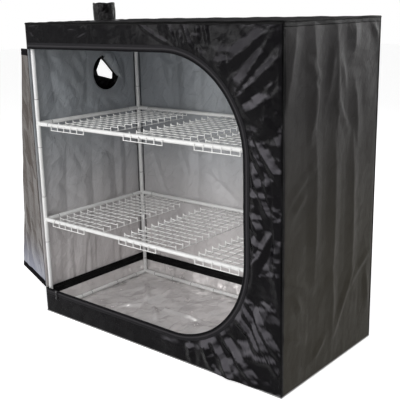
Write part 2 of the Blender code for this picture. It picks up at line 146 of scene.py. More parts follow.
# %% The relief effects
def woven_effect():
    """Height of crossing threads, from the cloth's own UV map, which is in metres."""
    group, given, place = start_effect("woven threads", "UV", "Height", Threads=900.0)
    waves = []
    for direction in ("X", "Y"):
        wave = add_node(group, "ShaderNodeTexWave", {"bands_direction": direction}, Vector=place,
                        Scale=given["Threads"], Distortion=0.6)
        waves.append(wave.outputs["Fac"])
    return end_effect(group, math_node(group, "MULTIPLY", *waves))


def creased_effect():
    """Height in metres of flat facets that each tilt their own way, with sharp creases between them."""
    group, given, place = start_effect("creased cloth", "UV", "Height", Scale=25.0, Stretch=1.5, Slope=0.1)
    bend = add_node(group, "ShaderNodeTexNoise", None, Vector=place, Scale=7.0, Detail=1.0)
    shift = add_node(group, "ShaderNodeVectorMath", {"operation": "SCALE"}, i0=bend.outputs["Color"],
                     Scale=0.07)
    moved = vector_node(group, "ADD", place, shift.outputs[0])
    turned = add_node(group, "ShaderNodeMapping", None, Vector=moved, Rotation=(0, 0, 0.45))
    stretch = add_node(group, "ShaderNodeCombineXYZ", None, X=given["Stretch"], Y=1.0, Z=0.0)
    streak = vector_node(group, "MULTIPLY", turned.outputs[0], stretch.outputs[0])
    cells = add_node(group, "ShaderNodeTexVoronoi", {"feature": "F1", "voronoi_dimensions": "2D"},
                     Vector=streak, Scale=given["Scale"])
    away = vector_node(group, "SUBTRACT", streak, cells.outputs["Position"])
    tilt = vector_node(group, "SUBTRACT", cells.outputs["Color"], (0.5, 0.5, 0.5))
    rise = vector_node(group, "DOT_PRODUCT", away, tilt, "Value")
    steep = math_node(group, "MULTIPLY", given["Slope"], 2.0)
    return end_effect(group, math_node(group, "MULTIPLY", rise, steep))


def powder_effect():
    """The faint orange peel of powder paint."""
    group, given, place = start_effect("powder skin", "Object", "Height", Scale=420.0)
    grain = add_node(group, "ShaderNodeTexNoise", None, Vector=place, Scale=given["Scale"], Detail=2.0)
    return end_effect(group, grain.outputs["Fac"])


# %% The mask effects
def stripe_effect():
    """1 on a line along the cloth, between two distances across it, from its own UV map."""
    group, given, place = start_effect("stripe", "UV", "Mask", From=0.009, To=0.012)
    across = axis_node(group, place, "Y")
    past = math_node(group, "GREATER_THAN", across, given["From"])
    before = math_node(group, "LESS_THAN", across, given["To"])
    return end_effect(group, math_node(group, "MULTIPLY", past, before))


def upward_effect():
    """0 below one height and 1 above another, for a foot tone; on the lining and door foil it is painted
    light.
    """
    group, given, place = start_effect("foot to top", "Object", "Mask", Low=0.2, High=1.0)
    share = add_node(group, "ShaderNodeMapRange", {"interpolation_type": "SMOOTHSTEP"},
                     Value=axis_node(group, place, "Z"), From_Min=given["Low"], From_Max=given["High"])
    return end_effect(group, share.outputs[0])


def marks_effect():
    """A patchy mask of handling marks and dirt, from 0 to 1."""
    group, given, place = start_effect("handling marks", "Object", "Mask", Scale=12.0, Amount=0.5)
    patches = add_node(group, "ShaderNodeTexNoise", None, Vector=place, Scale=given["Scale"], Detail=5.0,
                       Roughness=0.65)
    level = math_node(group, "MULTIPLY", math_node(group, "SUBTRACT", 1.0, given["Amount"]), 0.8)
    mask = add_node(group, "ShaderNodeMapRange", None, Value=patches.outputs["Fac"], From_Min=level,
                    From_Max=0.85)
    return end_effect(group, mask.outputs[0])


EFFECTS = {"threads": woven_effect(), "creased": creased_effect(), "powder": powder_effect(),
           "stripe": stripe_effect(), "upward": upward_effect(), "marks": marks_effect()}
print("effects", sorted(EFFECTS))


# %% [markdown]
# Every finish is then the same short recipe: two tones mixed by the handling marks, a roughness that
# follows the same marks, and a bump from the effects that belong to that material. Some have a second
# tone towards the foot or on a stripe; the foot tone of the lining and of the door foil is painted light.
# The black cover has a painted sheen, a lighter grey on the facets that lean upwards.

# %% The recipe of a finish
def use_effect(tree, effect, **values):
    """What an effect gives out in a material, with its own values."""
    node = add_node(tree, "ShaderNodeGroup", {"node_tree": EFFECTS[effect]}, **values)
    return node.outputs[0]


def blend_tone(tree, mask, base, tone):
    """A colour that turns into a tone where the mask is 1."""
    if not isinstance(base, bpy.types.NodeSocket):
        base = (*base, 1.0)
    mix = add_node(tree, "ShaderNodeMix", {"data_type": "RGBA"}, i0=mask, i6=base, i7=(*tone, 1.0))
    return mix.outputs[2]


def make_finish(name, tones, rough, reliefs, marks, sockets=None, foot=None, stripe=None, painted_sheen=None):
    """A material of two tones, a roughness range and reliefs, each an effect, its values and its depth."""
    material = bpy.data.materials.new(name)
    material.use_nodes = True
    tree = material.node_tree
    shader = tree.nodes["Principled BSDF"]
    mask = use_effect(tree, "marks", Scale=marks[0], Amount=marks[1])
    color = blend_tone(tree, mask, *tones)
    if foot:
        upward = use_effect(tree, "upward", Low=foot[1], High=foot[2])
        color = blend_tone(tree, math_node(tree, "SUBTRACT", 1.0, upward), color, foot[0])
    if stripe:
        color = blend_tone(tree, use_effect(tree, "stripe", From=stripe[1], To=stripe[2]), color, stripe[0])
    # Painted sheen: a lighter grey where a facet leans upwards, standing in for the lamps' glint.
    if painted_sheen:
        sheen_mask = add_node(tree, "ShaderNodeAttribute", {"attribute_name": "painted_sheen"}).outputs["Fac"]
        color = blend_tone(tree, sheen_mask, color, painted_sheen)
    tree.links.new(color, shader.inputs["Base Color"])
    spread = add_node(tree, "ShaderNodeMapRange", None, Value=mask, To_Min=rough[0], To_Max=rough[1])
    tree.links.new(spread.outputs[0], shader.inputs["Roughness"])
    total = 0.0
    for effect, values, depth in reliefs:
        height = use_effect(tree, effect, **values)
        total = math_node(tree, "ADD", total, math_node(tree, "MULTIPLY", height, depth))
    bump = add_node(tree, "ShaderNodeBump", None, Height=total, Strength=1.0, Distance=1.0)
    tree.links.new(bump.outputs[0], shader.inputs["Normal"])
    for label, value in (sockets or {}).items():
        shader.inputs[label].default_value = value
    return material


def weave(threads, depth=0.00006):
    """The fine threads of a cloth."""
    return ("threads", {"Threads": threads}, depth)


def folds(scale, stretch, slope):
    """The creases of a cloth, so many to the metre."""
    return ("creased", {"Scale": scale, "Stretch": stretch, "Slope": slope}, 1.0)


def skin(scale, depth=0.00003):
    """The skin of paint or enamel."""
    return ("powder", {"Scale": scale}, depth)


# %% The tent's finishes
def shine(level, metal=0.0):
    """How strongly a finish reflects, and how much of it is metal."""
    return {"Specular IOR Level": level, "Metallic": metal}


FINISHES = {
    "paint": make_finish("white powder paint", [(0.80, 0.80, 0.79), (0.70, 0.70, 0.69)], (0.34, 0.46),
                         [skin(520)], (18, 0.45)),
    # A dark grey that is painted shade, for the thin gaps where tubes meet.
    "gap": make_finish("dark joint gap", [(0.10, 0.10, 0.10), (0.20, 0.20, 0.20)], (0.5, 0.6),
                       [skin(520)], (30, 0.5)),
    "wire": make_finish("white coated wire", [(0.90, 0.90, 0.885), (0.82, 0.82, 0.80)], (0.30, 0.42),
                        [skin(600)], (40, 0.4)),
    # The cover's third tone is a painted sheen on the facets that lean upwards.
    "cover": make_finish("black coated cloth", [(0.0024, 0.0021, 0.0028), (0.0045, 0.0040, 0.0050)],
                         (0.15, 0.21), [weave(700, 0.00002), folds(18, 1.6, 0.030), folds(46, 1.8, 0.022)],
                         (9, 0.5), shine(0.055), painted_sheen=(0.080, 0.076, 0.085)),
    "wall": make_finish("brown-black coated cloth", [(0.0275, 0.0260, 0.0265), (0.040, 0.0380, 0.0380)],
                        (0.45, 0.60), [weave(700), folds(9, 1.6, 0.035), folds(30, 2.0, 0.025)],
                        (5, 0.5), shine(0.05), foot=((0.039, 0.0352, 0.0278), 0.30, 1.10)),
    "roof": make_finish("matt roof cloth", [(0.044, 0.043, 0.045), (0.058, 0.056, 0.058)], (0.7, 0.8),
                        [weave(700)], (7, 0.5), shine(0.0)),
    # The lining's lighter, warmer foot tone is painted light, where more light falls low in the tent.
    "lining": make_finish("silver lining", [(0.335, 0.355, 0.378), (0.285, 0.300, 0.308)], (0.48, 0.62),
                          [folds(10, 2.0, 0.055), folds(32, 2.4, 0.045), weave(900)], (6, 0.5),
                          shine(0.3, 0.10), foot=((0.66, 0.628, 0.625), 0.10, 0.90)),
    "tray foil": make_finish("tray foil", [(0.85, 0.82, 0.815), (0.66, 0.63, 0.625)], (0.22, 0.32),
                             [folds(10, 2.0, 0.16), folds(38, 2.4, 0.06)], (12, 0.5), {"Metallic": 0.40}),
    # Door foil: the silver lining painted dark as shade, browned; its bluish foot is a painted reflection.
    "door foil in painted shade": make_finish("door foil in painted shade", [(0.078, 0.065, 0.058), (0.060, 0.050, 0.044)], (0.34, 0.46),
                             [folds(9, 3.0, 0.10), folds(40, 2.0, 0.06)], (6, 0.5), shine(0.13, 0.12),
                             foot=((0.27, 0.282, 0.345), 0.08, 0.32)),
    "tape": make_finish("black zip tape", [(0.010, 0.0095, 0.011), (0.018, 0.017, 0.019)], (0.50, 0.65),
                        [weave(1200, 0.0001)], (60, 0.5), shine(0.055),
                        stripe=((0.034, 0.032, 0.035), 0.0105, 0.0150)),
    "door tape": make_finish("door's zip tape", [(0.010, 0.0095, 0.011), (0.016, 0.015, 0.017)], (0.7, 0.8),
                             [weave(1200, 0.0001)], (60, 0.5), shine(0.0)),
    "binding": make_finish("black binding", [(0.006, 0.006, 0.006), (0.012, 0.011, 0.012)], (0.45, 0.60),
                           [weave(1000, 0.0001), folds(40, 1.0, 0.10)], (40, 0.5), shine(0.05)),
    "coil": make_finish("black zip coil", [(0.005, 0.005, 0.006), (0.012, 0.012, 0.013)], (0.35, 0.45),
                        [skin(900)], (60, 0.4), shine(0.05)),
    "enamel": make_finish("black enamel", [(0.018, 0.018, 0.019), (0.10, 0.10, 0.10)], (0.22, 0.40),
                          [skin(700)], (160, 0.35)),
    "sleeve": make_finish("black sleeve cloth", [(0.006, 0.0055, 0.006), (0.012, 0.011, 0.012)],
                          (0.22, 0.32), [weave(600, 0.00005), folds(26, 1.4, 0.16), folds(70, 1.8, 0.08)],
                          (16, 0.5), shine(0.12)),
    # A grey that is painted light, for the side sleeve's turned-back faces that the front lamps would light.
    "sleeve in painted light": make_finish("grey sleeve in painted light", [(0.20, 0.193, 0.183), (0.12, 0.116, 0.110)],
                                 (0.4, 0.5), [folds(30, 1.6, 0.12)], (16, 0.5)),
    "piping": make_finish("grey piping", [(0.30, 0.30, 0.30), (0.42, 0.42, 0.42)], (0.5, 0.65),
                          [weave(900)], (30, 0.5)),
}
print("finishes", len(FINISHES))


# %% [markdown]
# The frame is steel tube in white powder paint. Each length is a cylinder whose end rims are bevelled,
# so that two lengths that meet show the thin dark joint line that real tubes have. Corner and tee
# fittings are a millimetre thicker than the tubes. A short dark ring at each fitting's mouth and at the
# base bars' joints is painted shade, for the shadow in the joint's gap.

# %% Tools for all pieces
MERGE = 0.00001
FACING = 0.9


def deselect():
    """Nothing selected, so that the next operator acts on the new primitive alone."""
    bpy.ops.object.select_all(action="DESELECT")


def activate(piece):
    """Only this piece selected and active."""
    deselect()
    piece.select_set(True)
    bpy.context.view_layer.objects.active = piece


def new_piece(operator, **settings):
    """The piece that an operator adds, the only one selected."""
    deselect()
    operator(**settings)
    return bpy.context.object


def end_edit():
    """Back from edit mode to object mode."""
    bpy.ops.object.mode_set(mode="OBJECT")


def edit_all(piece):
    """Goes into edit mode with the whole piece selected."""
    activate(piece)
    bpy.ops.object.mode_set(mode="EDIT")
    bpy.ops.mesh.select_all(action="SELECT")


def edit_faces(piece, test):
    """Goes into edit mode with the faces selected that pass the test."""
    activate(piece)
    bpy.ops.object.mode_set(mode="EDIT")
    bpy.ops.mesh.select_mode(type="FACE")
    bpy.ops.mesh.select_all(action="DESELECT")
    end_edit()
    for face in piece.data.polygons:
        face.select = bool(test(face))
    bpy.ops.object.mode_set(mode="EDIT")


def face_outwards(piece):
    """Turns all the faces of a piece outwards."""
    edit_all(piece)
    bpy.ops.mesh.normals_make_consistent(inside=False)
    end_edit()


def join(parts):
    """Several objects made one, at the origin."""
    activate(parts[0])
    for part in parts:
        part.select_set(True)
    if len(parts) > 1:
        bpy.ops.object.join()
    bpy.ops.object.transform_apply(location=True, rotation=True, scale=True)
    return bpy.context.view_layer.objects.active


def finish_piece(piece, name, finishes, body="tent", nodes=()):
    """Names a piece, gives it its materials and its body, and hides the nodes it stands for."""
    piece.name = name
    piece.data.name = name
    while len(piece.data.materials) < len(finishes):
        piece.data.materials.append(None)
    for index, finish in enumerate(finishes):
        piece.data.materials[index] = FINISHES[finish]
    if nodes:
        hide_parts(*nodes)
    if body:
        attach(piece, body)
    return piece


def middle(node):
    """The centre of a node's box."""
    low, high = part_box(node)
    return (low + high) / 2


print("nodes to dress", len(frame["nodes"]))

# %% Steel tubes
TUBE_SIDES = 28
BALL_RINGS = 14
RIM = 0.0006
SMOOTH_ANGLE = math.radians(40)


def steel_tube(start, end, diameter):
    """A round tube between two points, with bevelled end rims."""
    start = Vector(start)
    run = Vector(end) - start
    tube = new_piece(bpy.ops.mesh.primitive_cylinder_add, vertices=TUBE_SIDES, radius=diameter / 2,
                     depth=run.length, location=start + run / 2,
                     rotation=run.to_track_quat("Z", "Y").to_euler())
    bpy.ops.object.transform_apply(location=True, rotation=True, scale=True)
    along = run.normalized()
    edit_faces(tube, lambda face: abs(face.normal.dot(along)) > FACING)
    bpy.ops.mesh.bevel(offset=RIM, segments=2, affect="EDGES")
    end_edit()
    bpy.ops.object.shade_smooth_by_angle(angle=SMOOTH_ANGLE)
    return tube


def steel_ball(place, diameter):
    """The rounded outer corner of a fitting."""
    ball = new_piece(bpy.ops.mesh.primitive_uv_sphere_add, segments=TUBE_SIDES, ring_count=BALL_RINGS,
                     radius=diameter / 2, location=place)
    bpy.ops.object.shade_smooth()
    return ball


print("tubes of", TUBE_SIDES, "sides, rims of", RIM, "m")

# %% Posts, fittings and bars
TUBE = 0.016
FITTING = 0.017
ARM = 0.066
# The length and the extra thickness of the rings of painted shade.
GAP = 0.0026
GAP_LIFT = 0.0002
BAR_JOINTS = (-0.78, -0.56, -0.30, 0.42)


def joint_gap(end, along):
    """A dark ring round a tube where it goes into a fitting: painted shade for the joint's gap."""
    gap = steel_tube(end, end + along * GAP, TUBE + GAP_LIFT)
    gap.data.materials.append(FINISHES["gap"])
    return gap


def fitting(start, ends):
    """The arms of a fitting from its middle to their ends, each with a ring of painted shade at its mouth."""
    parts = []
    for end in ends:
        end = Vector(end)
        arm = steel_tube(start, end, FITTING)
        arm.data.materials.append(FINISHES["paint"])
        parts += [arm, joint_gap(end, (end - start).normalized())]
    return parts


def steel_piece(parts, node, finishes=("paint", "gap")):
    """A piece of the frame from its parts."""
    return finish_piece(join(parts), f"steel_{node}", finishes, nodes=[node])


steel = []
for face, deep in (("front", -1), ("back", 1)):
    for side, wide in (("left", -1), ("right", 1)):
        corner = f"{face}_{side}"
        x, y, _ = middle(f"middle_post_{corner}")
        inward = [Vector((-wide * ARM, 0, 0)), Vector((0, -deep * ARM, 0))]
        for level, end, rise in (("lower", "base", 1), ("upper", "top", -1)):
            node = f"{level}_post_{corner}"
            low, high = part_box(node)
            start = Vector((x, y, middle(f"{end}_bar_front").z))
            fitting_end = start + Vector((0, 0, rise * ARM))
            post_end = (x, y, high.z if rise > 0 else low.z)
            parts = fitting(start, [fitting_end] + [start + arm for arm in inward])
            parts += [steel_ball(start, FITTING), steel_tube(fitting_end, post_end, TUBE)]
            steel.append(steel_piece(parts, node))
        node = f"middle_post_{corner}"
        low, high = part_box(node)
        post = steel_tube((x, y, low.z), (x, y, high.z), TUBE)
        steel.append(steel_piece([post], node, ["paint"]))
        for level in ("lower_shelf", "upper_shelf"):
            node = f"{level}_tee_{corner}"
            low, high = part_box(node)
            start = Vector((x, y, middle(f"{level}_bar_front").z))
            ends = [(x, y, low.z), (x, y, high.z)] + [start + arm for arm in inward]
            steel.append(steel_piece(fitting(start, ends), node))
for level in ("base", "lower_shelf", "upper_shelf", "top"):
    for side in ("front", "back", "left", "right"):
        node = f"{level}_bar_{side}"
        low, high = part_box(node)
        center = (low + high) / 2
        half = (high - low) / 2
        run = Vector((half.x, 0, 0)) if side in ("front", "back") else Vector((0, half.y, 0))
        bar = steel_tube(center - run, center + run, TUBE)
        bar.data.materials.append(FINISHES["paint"])
        # The base bars' joints get the same rings of painted shade.
        shares = BAR_JOINTS if level == "base" else ()
        gaps = [joint_gap(center + run * share, run.normalized()) for share in shares]
        steel.append(steel_piece([bar] + gaps, node))
print("steel pieces", len(steel))

# %% [markdown]
# Two loose bars hook over the top front and back bars. A lamp or a fan hangs from them. Each hook is a
# strip of flat steel bent over the tube, so it is a grid that is shaped by its profile and thickened.

# %% The roof hanging bars
HOOK_WIDTH = 0.020
HOOK_WALL = 0.0020
HOOK_ROOM = 0.0003
HOOK_DROP = 0.004
HOOK_TIP = 0.001
HOOK_TURNS = (0, 22, 45, 68, 90, 112, 135, 158, 180)
DIGITS = 5
top_z = middle("top_bar_front").z
back_y = middle("top_bar_back").y


def bent_hook(x, outward):
    """A strip hook over the back bar, or over the front bar where outward is -1."""
    inner = outward * (FITTING / 2 + HOOK_ROOM)
    turns = [math.radians(angle) for angle in HOOK_TURNS]
    profile = [(inner, -HOOK_DROP)]
    profile += [(inner * math.cos(angle), abs(inner) * math.sin(angle)) for angle in turns]
    profile.append((-inner, -HOOK_TIP))
    strip = new_piece(bpy.ops.mesh.primitive_grid_add, x_subdivisions=1, y_subdivisions=len(profile) - 1,
                      size=1)
    rows = sorted({round(vertex.co.y, DIGITS) for vertex in strip.data.vertices})
    for vertex in strip.data.vertices:
        y, z = profile[rows.index(round(vertex.co.y, DIGITS))]
        side = math.copysign(HOOK_WIDTH / 2, vertex.co.x)
        vertex.co = (x + side, outward * back_y + y, top_z + z)
    face_outwards(strip)
    up = sum(face.normal.z for face in strip.data.polygons)
    wall = strip.modifiers.new("wall", "SOLIDIFY")
    wall.thickness = HOOK_WALL
    wall.offset = math.copysign(1, up)
    bpy.ops.object.modifier_apply(modifier=wall.name)
    bpy.ops.object.shade_smooth_by_angle(angle=SMOOTH_ANGLE)
    return strip


for side in ("left", "right"):
    node = f"roof_hanging_bar_{side}"
    x = middle(node).x
    reach = back_y - TUBE / 2 - HOOK_WALL
    bar = steel_tube((x, -reach, top_z), (x, reach, top_z), TUBE)
    piece = join([bar, bent_hook(x, -1), bent_hook(x, 1)])
    finish_piece(piece, f"steel_{node}", ["paint"], node, [node])
print("hanging bars 2")

# %% [markdown]
# A shelf panel is a grid of coated wire. Six wires run from front to back and bend down over the front
# and back bars, and thirteen cross them and bend down at the sides. Each wire starts as a small circle
# that is extruded along its straight runs and spun round its bends, as a wire bender would do it.

# %% Bending a wire
WIRE = 0.0033
WIRE_SIDES = 8
WIRE_ANGLE = math.radians(50)
BEND = 0.0070
BEND_STEPS = 4


def extrude_by(offset):
    """Extrudes what is selected."""
    bpy.ops.mesh.extrude_region_move(TRANSFORM_OT_translate={"value": offset})


def wire_end(diameter, place, turn=(0, 0, 0)):
    """The circle that a wire starts from, in edit mode."""
    wire = new_piece(bpy.ops.mesh.primitive_circle_add, vertices=WIRE_SIDES, radius=diameter / 2,
                     fill_type="NOTHING", location=place, rotation=turn)
    bpy.ops.object.transform_apply(location=True, rotation=True)
    bpy.ops.object.mode_set(mode="EDIT")
    bpy.ops.mesh.select_mode(type="EDGE")
    bpy.ops.mesh.select_all(action="SELECT")
    return wire


def close_wire(wire):
    """Merges doubles, closes the two ends and turns the faces outwards."""
    bpy.ops.mesh.select_all(action="SELECT")
    bpy.ops.mesh.remove_doubles(threshold=MERGE)
    bpy.ops.mesh.fill_holes(sides=WIRE_SIDES)
    end_edit()
    face_outwards(wire)
    bpy.ops.object.shade_smooth_by_angle(angle=WIRE_ANGLE)
    return wire


def bent_wire(half_run, drop, diameter):
    """A wire along Y at z 0, from -half_run to half_run, whose ends are bent down by drop."""
    wire = wire_end(diameter, (0, -half_run, -drop))
    extrude_by((0, 0, drop - BEND))
    for end in (-1, 1):
        center = (0, end * (half_run - BEND), -BEND)
        bpy.ops.mesh.spin(steps=BEND_STEPS, angle=-math.pi / 2, center=center, axis=(1, 0, 0))
        extrude_by((0, 2 * (half_run - BEND), 0) if end < 0 else (0, 0, BEND - drop))
    return close_wire(wire)


def straight_wire(length, diameter):
    """A straight wire along Y, centred on the origin."""
    wire = wire_end(diameter, (0, -length / 2, 0), (math.pi / 2, 0, 0))
    extrude_by((0, length, 0))
    return close_wire(wire)


def copy_of(piece, turn_z=0.0, offset=(0, 0, 0)):
    """A copy with its own mesh, turned about Z and moved."""
    copy = piece.copy()
    copy.data = piece.data.copy()
    bpy.context.scene.collection.objects.link(copy)
    copy.data.transform(Matrix.Translation(offset) @ Matrix.Rotation(turn_z, 4, "Z"))
    return copy


print("wire of", WIRE, "m, bends of", BEND, "m")

# %% The wire shelf panel, made once
PITCH = 0.038
LONG_WIRES = 6
CROSS_WIRES = 13
LIP = 0.9 * WIRE
CROSS_DROP = 0.8 * WIRE
panel_low, panel_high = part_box("lower_shelf_panel_left")
panel_half = (panel_high - panel_low) / 2
wire_drop = panel_high.z - panel_low.z - WIRE
lip_x = panel_half.x - WIRE / 2
lip_y = panel_half.y - WIRE / 2
last_long = LONG_WIRES - 1
last_cross = CROSS_WIRES - 1
long_wire = bent_wire(lip_y, wire_drop, WIRE)
cross_wire = bent_wire(lip_x, wire_drop, WIRE)
lip_wire = straight_wire(last_long * PITCH + WIRE, LIP)
side_wire = straight_wire(last_cross * PITCH + WIRE, LIP)
parts = [copy_of(long_wire, 0, (PITCH * (step - last_long / 2), 0, 0)) for step in range(LONG_WIRES)]
for step in range(CROSS_WIRES):
    place = (0, PITCH * (step - last_cross / 2), -CROSS_DROP)
    parts.append(copy_of(cross_wire, math.pi / 2, place))
parts += [copy_of(lip_wire, math.pi / 2, (0, sign * lip_y, -wire_drop)) for sign in (-1, 1)]
parts += [copy_of(side_wire, 0, (sign * lip_x, 0, -wire_drop)) for sign in (-1, 1)]
for used in (long_wire, cross_wire, lip_wire, side_wire):
    bpy.data.objects.remove(used)
shelf_panel = join(parts)
print("one panel", len(shelf_panel.data.polygons), "faces, drop", round(wire_drop, 4))

# %% The six shelf panels
for level in ("lower_shelf", "upper_shelf"):
    for side in ("left", "middle", "right"):
        node = f"{level}_panel_{side}"
        low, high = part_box(node)
        place = (low.x + panel_half.x, low.y + panel_half.y, high.z - WIRE / 2)
        panel = copy_of(shelf_panel, 0, place)
        finish_piece(panel, f"wire_{node}", ["wire"], node, [node])
bpy.data.objects.remove(shelf_panel)
print("wire panels 6")

# %% [markdown]
# The cover is polyester cloth, black outside and silver inside. It came folded in a box, so it keeps
# sharp creases, flat facets between them, and soft folds where it hangs. Each wall is a fine grid. Its
# points are moved outwards by a relief in metres, and the sheet gets its thickness and lining last.

# %% Relief: the shapes that cloth keeps
TABLE = 64


def ease(value):
    """0 below 0, 1 above 1, and smooth between."""
    value = np.clip(value, 0, 1)
    return value * value * (3 - 2 * value)


def cell_heights(a, b, seed):
    """Random heights from -1 to 1 at the corners of each point's cell, and the point's place in it."""
    table = np.random.default_rng(seed).uniform(-1, 1, (TABLE, TABLE))
    i, j = np.floor(a).astype(int), np.floor(b).astype(int)
    heights = [table[(i + right) % TABLE, (j + up) % TABLE] for up in (0, 1) for right in (0, 1)]
    return *heights, a - i, b - j


def soft_noise(s, t, size, seed):
    """Rounded bumps about one size across, from -1 to 1."""
    here, right, up, far, p, q = cell_heights(s / size, t / size, seed)
    p, q = ease(p), ease(q)
    return (here * (1 - p) + right * p) * (1 - q) + (up * (1 - p) + far * p) * q


def facets(s, t, size, seed, turn=0.5):
    """Flat three-cornered facets with sharp edges, from -1 to 1."""
    bend_s = s + 0.4 * size * soft_noise(s, t, 1.6 * size, seed + 1)
    bend_t = t + 0.4 * size * soft_noise(s, t, 1.6 * size, seed + 2)
    a = (math.cos(turn) * bend_s - math.sin(turn) * bend_t) / size
    b = (math.sin(turn) * bend_s + math.cos(turn) * bend_t) / size
    here, right, up, far, p, q = cell_heights(a, b, seed)
    first = here + p * (right - here) + q * (far - right)
    second = here + q * (up - here) + p * (far - up)
    return np.where(p > q, first, second)


def creases(s, t, groups):
    """The height of sharp-crested folds, in groups of a height, a width, a power and their lines."""
    total = np.zeros_like(s)
    for crest, width, power, lines in groups:
        height = np.zeros_like(s)
        for s0, t0, s1, t1 in lines:
            run_s, run_t = s1 - s0, t1 - t0
            along = np.clip(((s - s0) * run_s + (t - t0) * run_t) / (run_s ** 2 + run_t ** 2), 0, 1)
            away = np.hypot(s - s0 - along * run_s, t - t0 - along * run_t)
            strength = 0.45 + 0.55 * ease(3 * along) * ease(3 * (1 - along))
            height = np.maximum(height, strength * np.clip(1 - away / width, 0, 1) ** power)
        total += crest * height
    return total


# %% Making a cloth sheet from a grid
CLOTH_ANGLE = math.radians(60)
BINDING_CLOTH = 0.0008
THIN_CLOTH = 0.0006
# The columns and rows of each sheet's grid, fine enough for its smallest creases.
GRIDS = {
    "front": (660, 44), "header": (300, 3), "right": (120, 220), "back": (210, 200), "left": (132, 220),
    "top band": (120, 4), "edge band": (4, 200), "seam": (2, 170), "roof": (190, 96), "zip": (620, 6),
    "inner door": (80, 150), "outer door": (110, 150), "inner tape top": (60, 8),
    "inner tape foot": (80, 8), "outer tape": (380, 8), "roof sleeve": (120, 44),
    "side sleeve": (120, 80), "port fold": (60, 16),
}


def stack(*columns):
    """Columns of coordinates side by side."""
    return np.stack(np.broadcast_arrays(*columns), axis=-1)


def points_of(piece):
    """The points of a piece, a row of x, y and z each."""
    points = np.empty(len(piece.data.vertices) * 3)
    piece.data.vertices.foreach_get("co", points)
    return points.reshape(-1, 3)


def place_points(piece, points, flat=None):
    """Moves the points of a piece, and writes where they lie in the flat cloth into its UV map."""
    mesh = piece.data
    mesh.vertices.foreach_set("co", points.ravel())
    if flat is not None:
        corners = np.empty(len(mesh.loops), int)
        mesh.loops.foreach_get("vertex_index", corners)
        mesh.uv_layers[0].data.foreach_set("uv", flat[corners].ravel())
    mesh.update()


def cloth_sheet(grid, place, outward):
    """A grid whose unit coordinates go through place(u, v), which gives points and flat coordinates."""
    columns, rows = GRIDS[grid]
    sheet = new_piece(bpy.ops.mesh.primitive_grid_add, x_subdivisions=columns, y_subdivisions=rows, size=1)
    u, v, _ = (points_of(sheet) + 0.5).T
    place_points(sheet, *place(u, v))
    facing = sum((face.normal for face in sheet.data.polygons), Vector())
    if facing.dot(Vector(outward)) < 0:
        sheet.data.flip_normals()
    return sheet


def thicken(sheet, thickness=CLOTH, lining=True):
    """Gives a sheet its thickness inwards, with the second material on its inner side."""
    activate(sheet)
    bpy.ops.object.shade_smooth_by_angle(angle=CLOTH_ANGLE)
    wall = sheet.modifiers.new("thickness", "SOLIDIFY")
    wall.thickness = thickness
    wall.offset = -1
    wall.use_even_offset = False
    if lining:
        sheet.data.materials.append(FINISHES["cover"])
        sheet.data.materials.append(FINISHES["lining"])
        wall.material_offset = 1
    bpy.ops.object.modifier_apply(modifier=wall.name)
    return sheet


print("grids", len(GRIDS), "with", sum(columns * rows for columns, rows in GRIDS.values()), "faces")


# %% [markdown]
# The front panel is a wide letter C of cloth round the door opening. A plain grid would leave a jagged
# edge, so the grid runs along the opening's edge and outwards from it to the panel's border. The same
# path later carries the zip.

# %% The path round the opening
TAPE = 0.025
tape_low, tape_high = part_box("zip_tape")
OPEN_LOW = tape_low.z + TAPE
OPEN_HIGH = tape_high.z - TAPE
OPEN_RIGHT = tape_high.x - TAPE
OPEN_RADIUS = 0.330
TURN_X = OPEN_RIGHT - OPEN_RADIUS
HIGH_TURN = OPEN_HIGH - OPEN_RADIUS
LOW_TURN = OPEN_LOW + OPEN_RADIUS
QUARTER = math.pi / 2 * OPEN_RADIUS
STOPS = np.cumsum([TURN_X - LEFT, QUARTER, HIGH_TURN - LOW_TURN, QUARTER, TURN_X - LEFT])
PATH = STOPS[-1]
TINY = 1e-6


def on_path(s, choices, last):
    """The choice for the part of the path on which each distance along it lies."""
    return np.select([s < stop for stop in STOPS[:4]], choices, last)


def along_opening(s, out):
    """x and z at a distance s along the opening's edge from its top left, and out outwards from it."""
    first = math.pi / 2 - (s - STOPS[0]) / OPEN_RADIUS
    second = -(s - STOPS[2]) / OPEN_RADIUS
    reach = OPEN_RADIUS + out
    x = on_path(s, [LEFT + s, TURN_X + reach * np.cos(first), TURN_X + reach + 0 * s,
                    TURN_X + reach * np.cos(second)], TURN_X - (s - STOPS[3]))
    z = on_path(s, [OPEN_HIGH + out, HIGH_TURN + reach * np.sin(first), HIGH_TURN - (s - STOPS[1]),
                    LOW_TURN + reach * np.sin(second)], OPEN_LOW - out)
    return x, z


def to_border(angle, rise):
    """How far it is from the opening's corner arc to the panel's border, at an angle above level."""
    across = (RIGHT - TURN_X) / np.maximum(np.cos(angle), TINY)
    return np.minimum(across, rise / np.maximum(np.sin(angle), TINY)) - OPEN_RADIUS


def room_outside(s):
    """How far it is from the opening's edge to the panel's border, square to the edge."""
    first = math.pi / 2 - (s - STOPS[0]) / OPEN_RADIUS
    second = (s - STOPS[2]) / OPEN_RADIUS
    return on_path(s, [TOP - OPEN_HIGH + 0 * s, to_border(first, TOP - HIGH_TURN), RIGHT - OPEN_RIGHT + 0 * s,
                       to_border(second, LOW_TURN)], OPEN_LOW)


print("opening", round(OPEN_LOW, 3), round(OPEN_HIGH, 3), round(OPEN_RIGHT, 3), "path", round(PATH, 3))

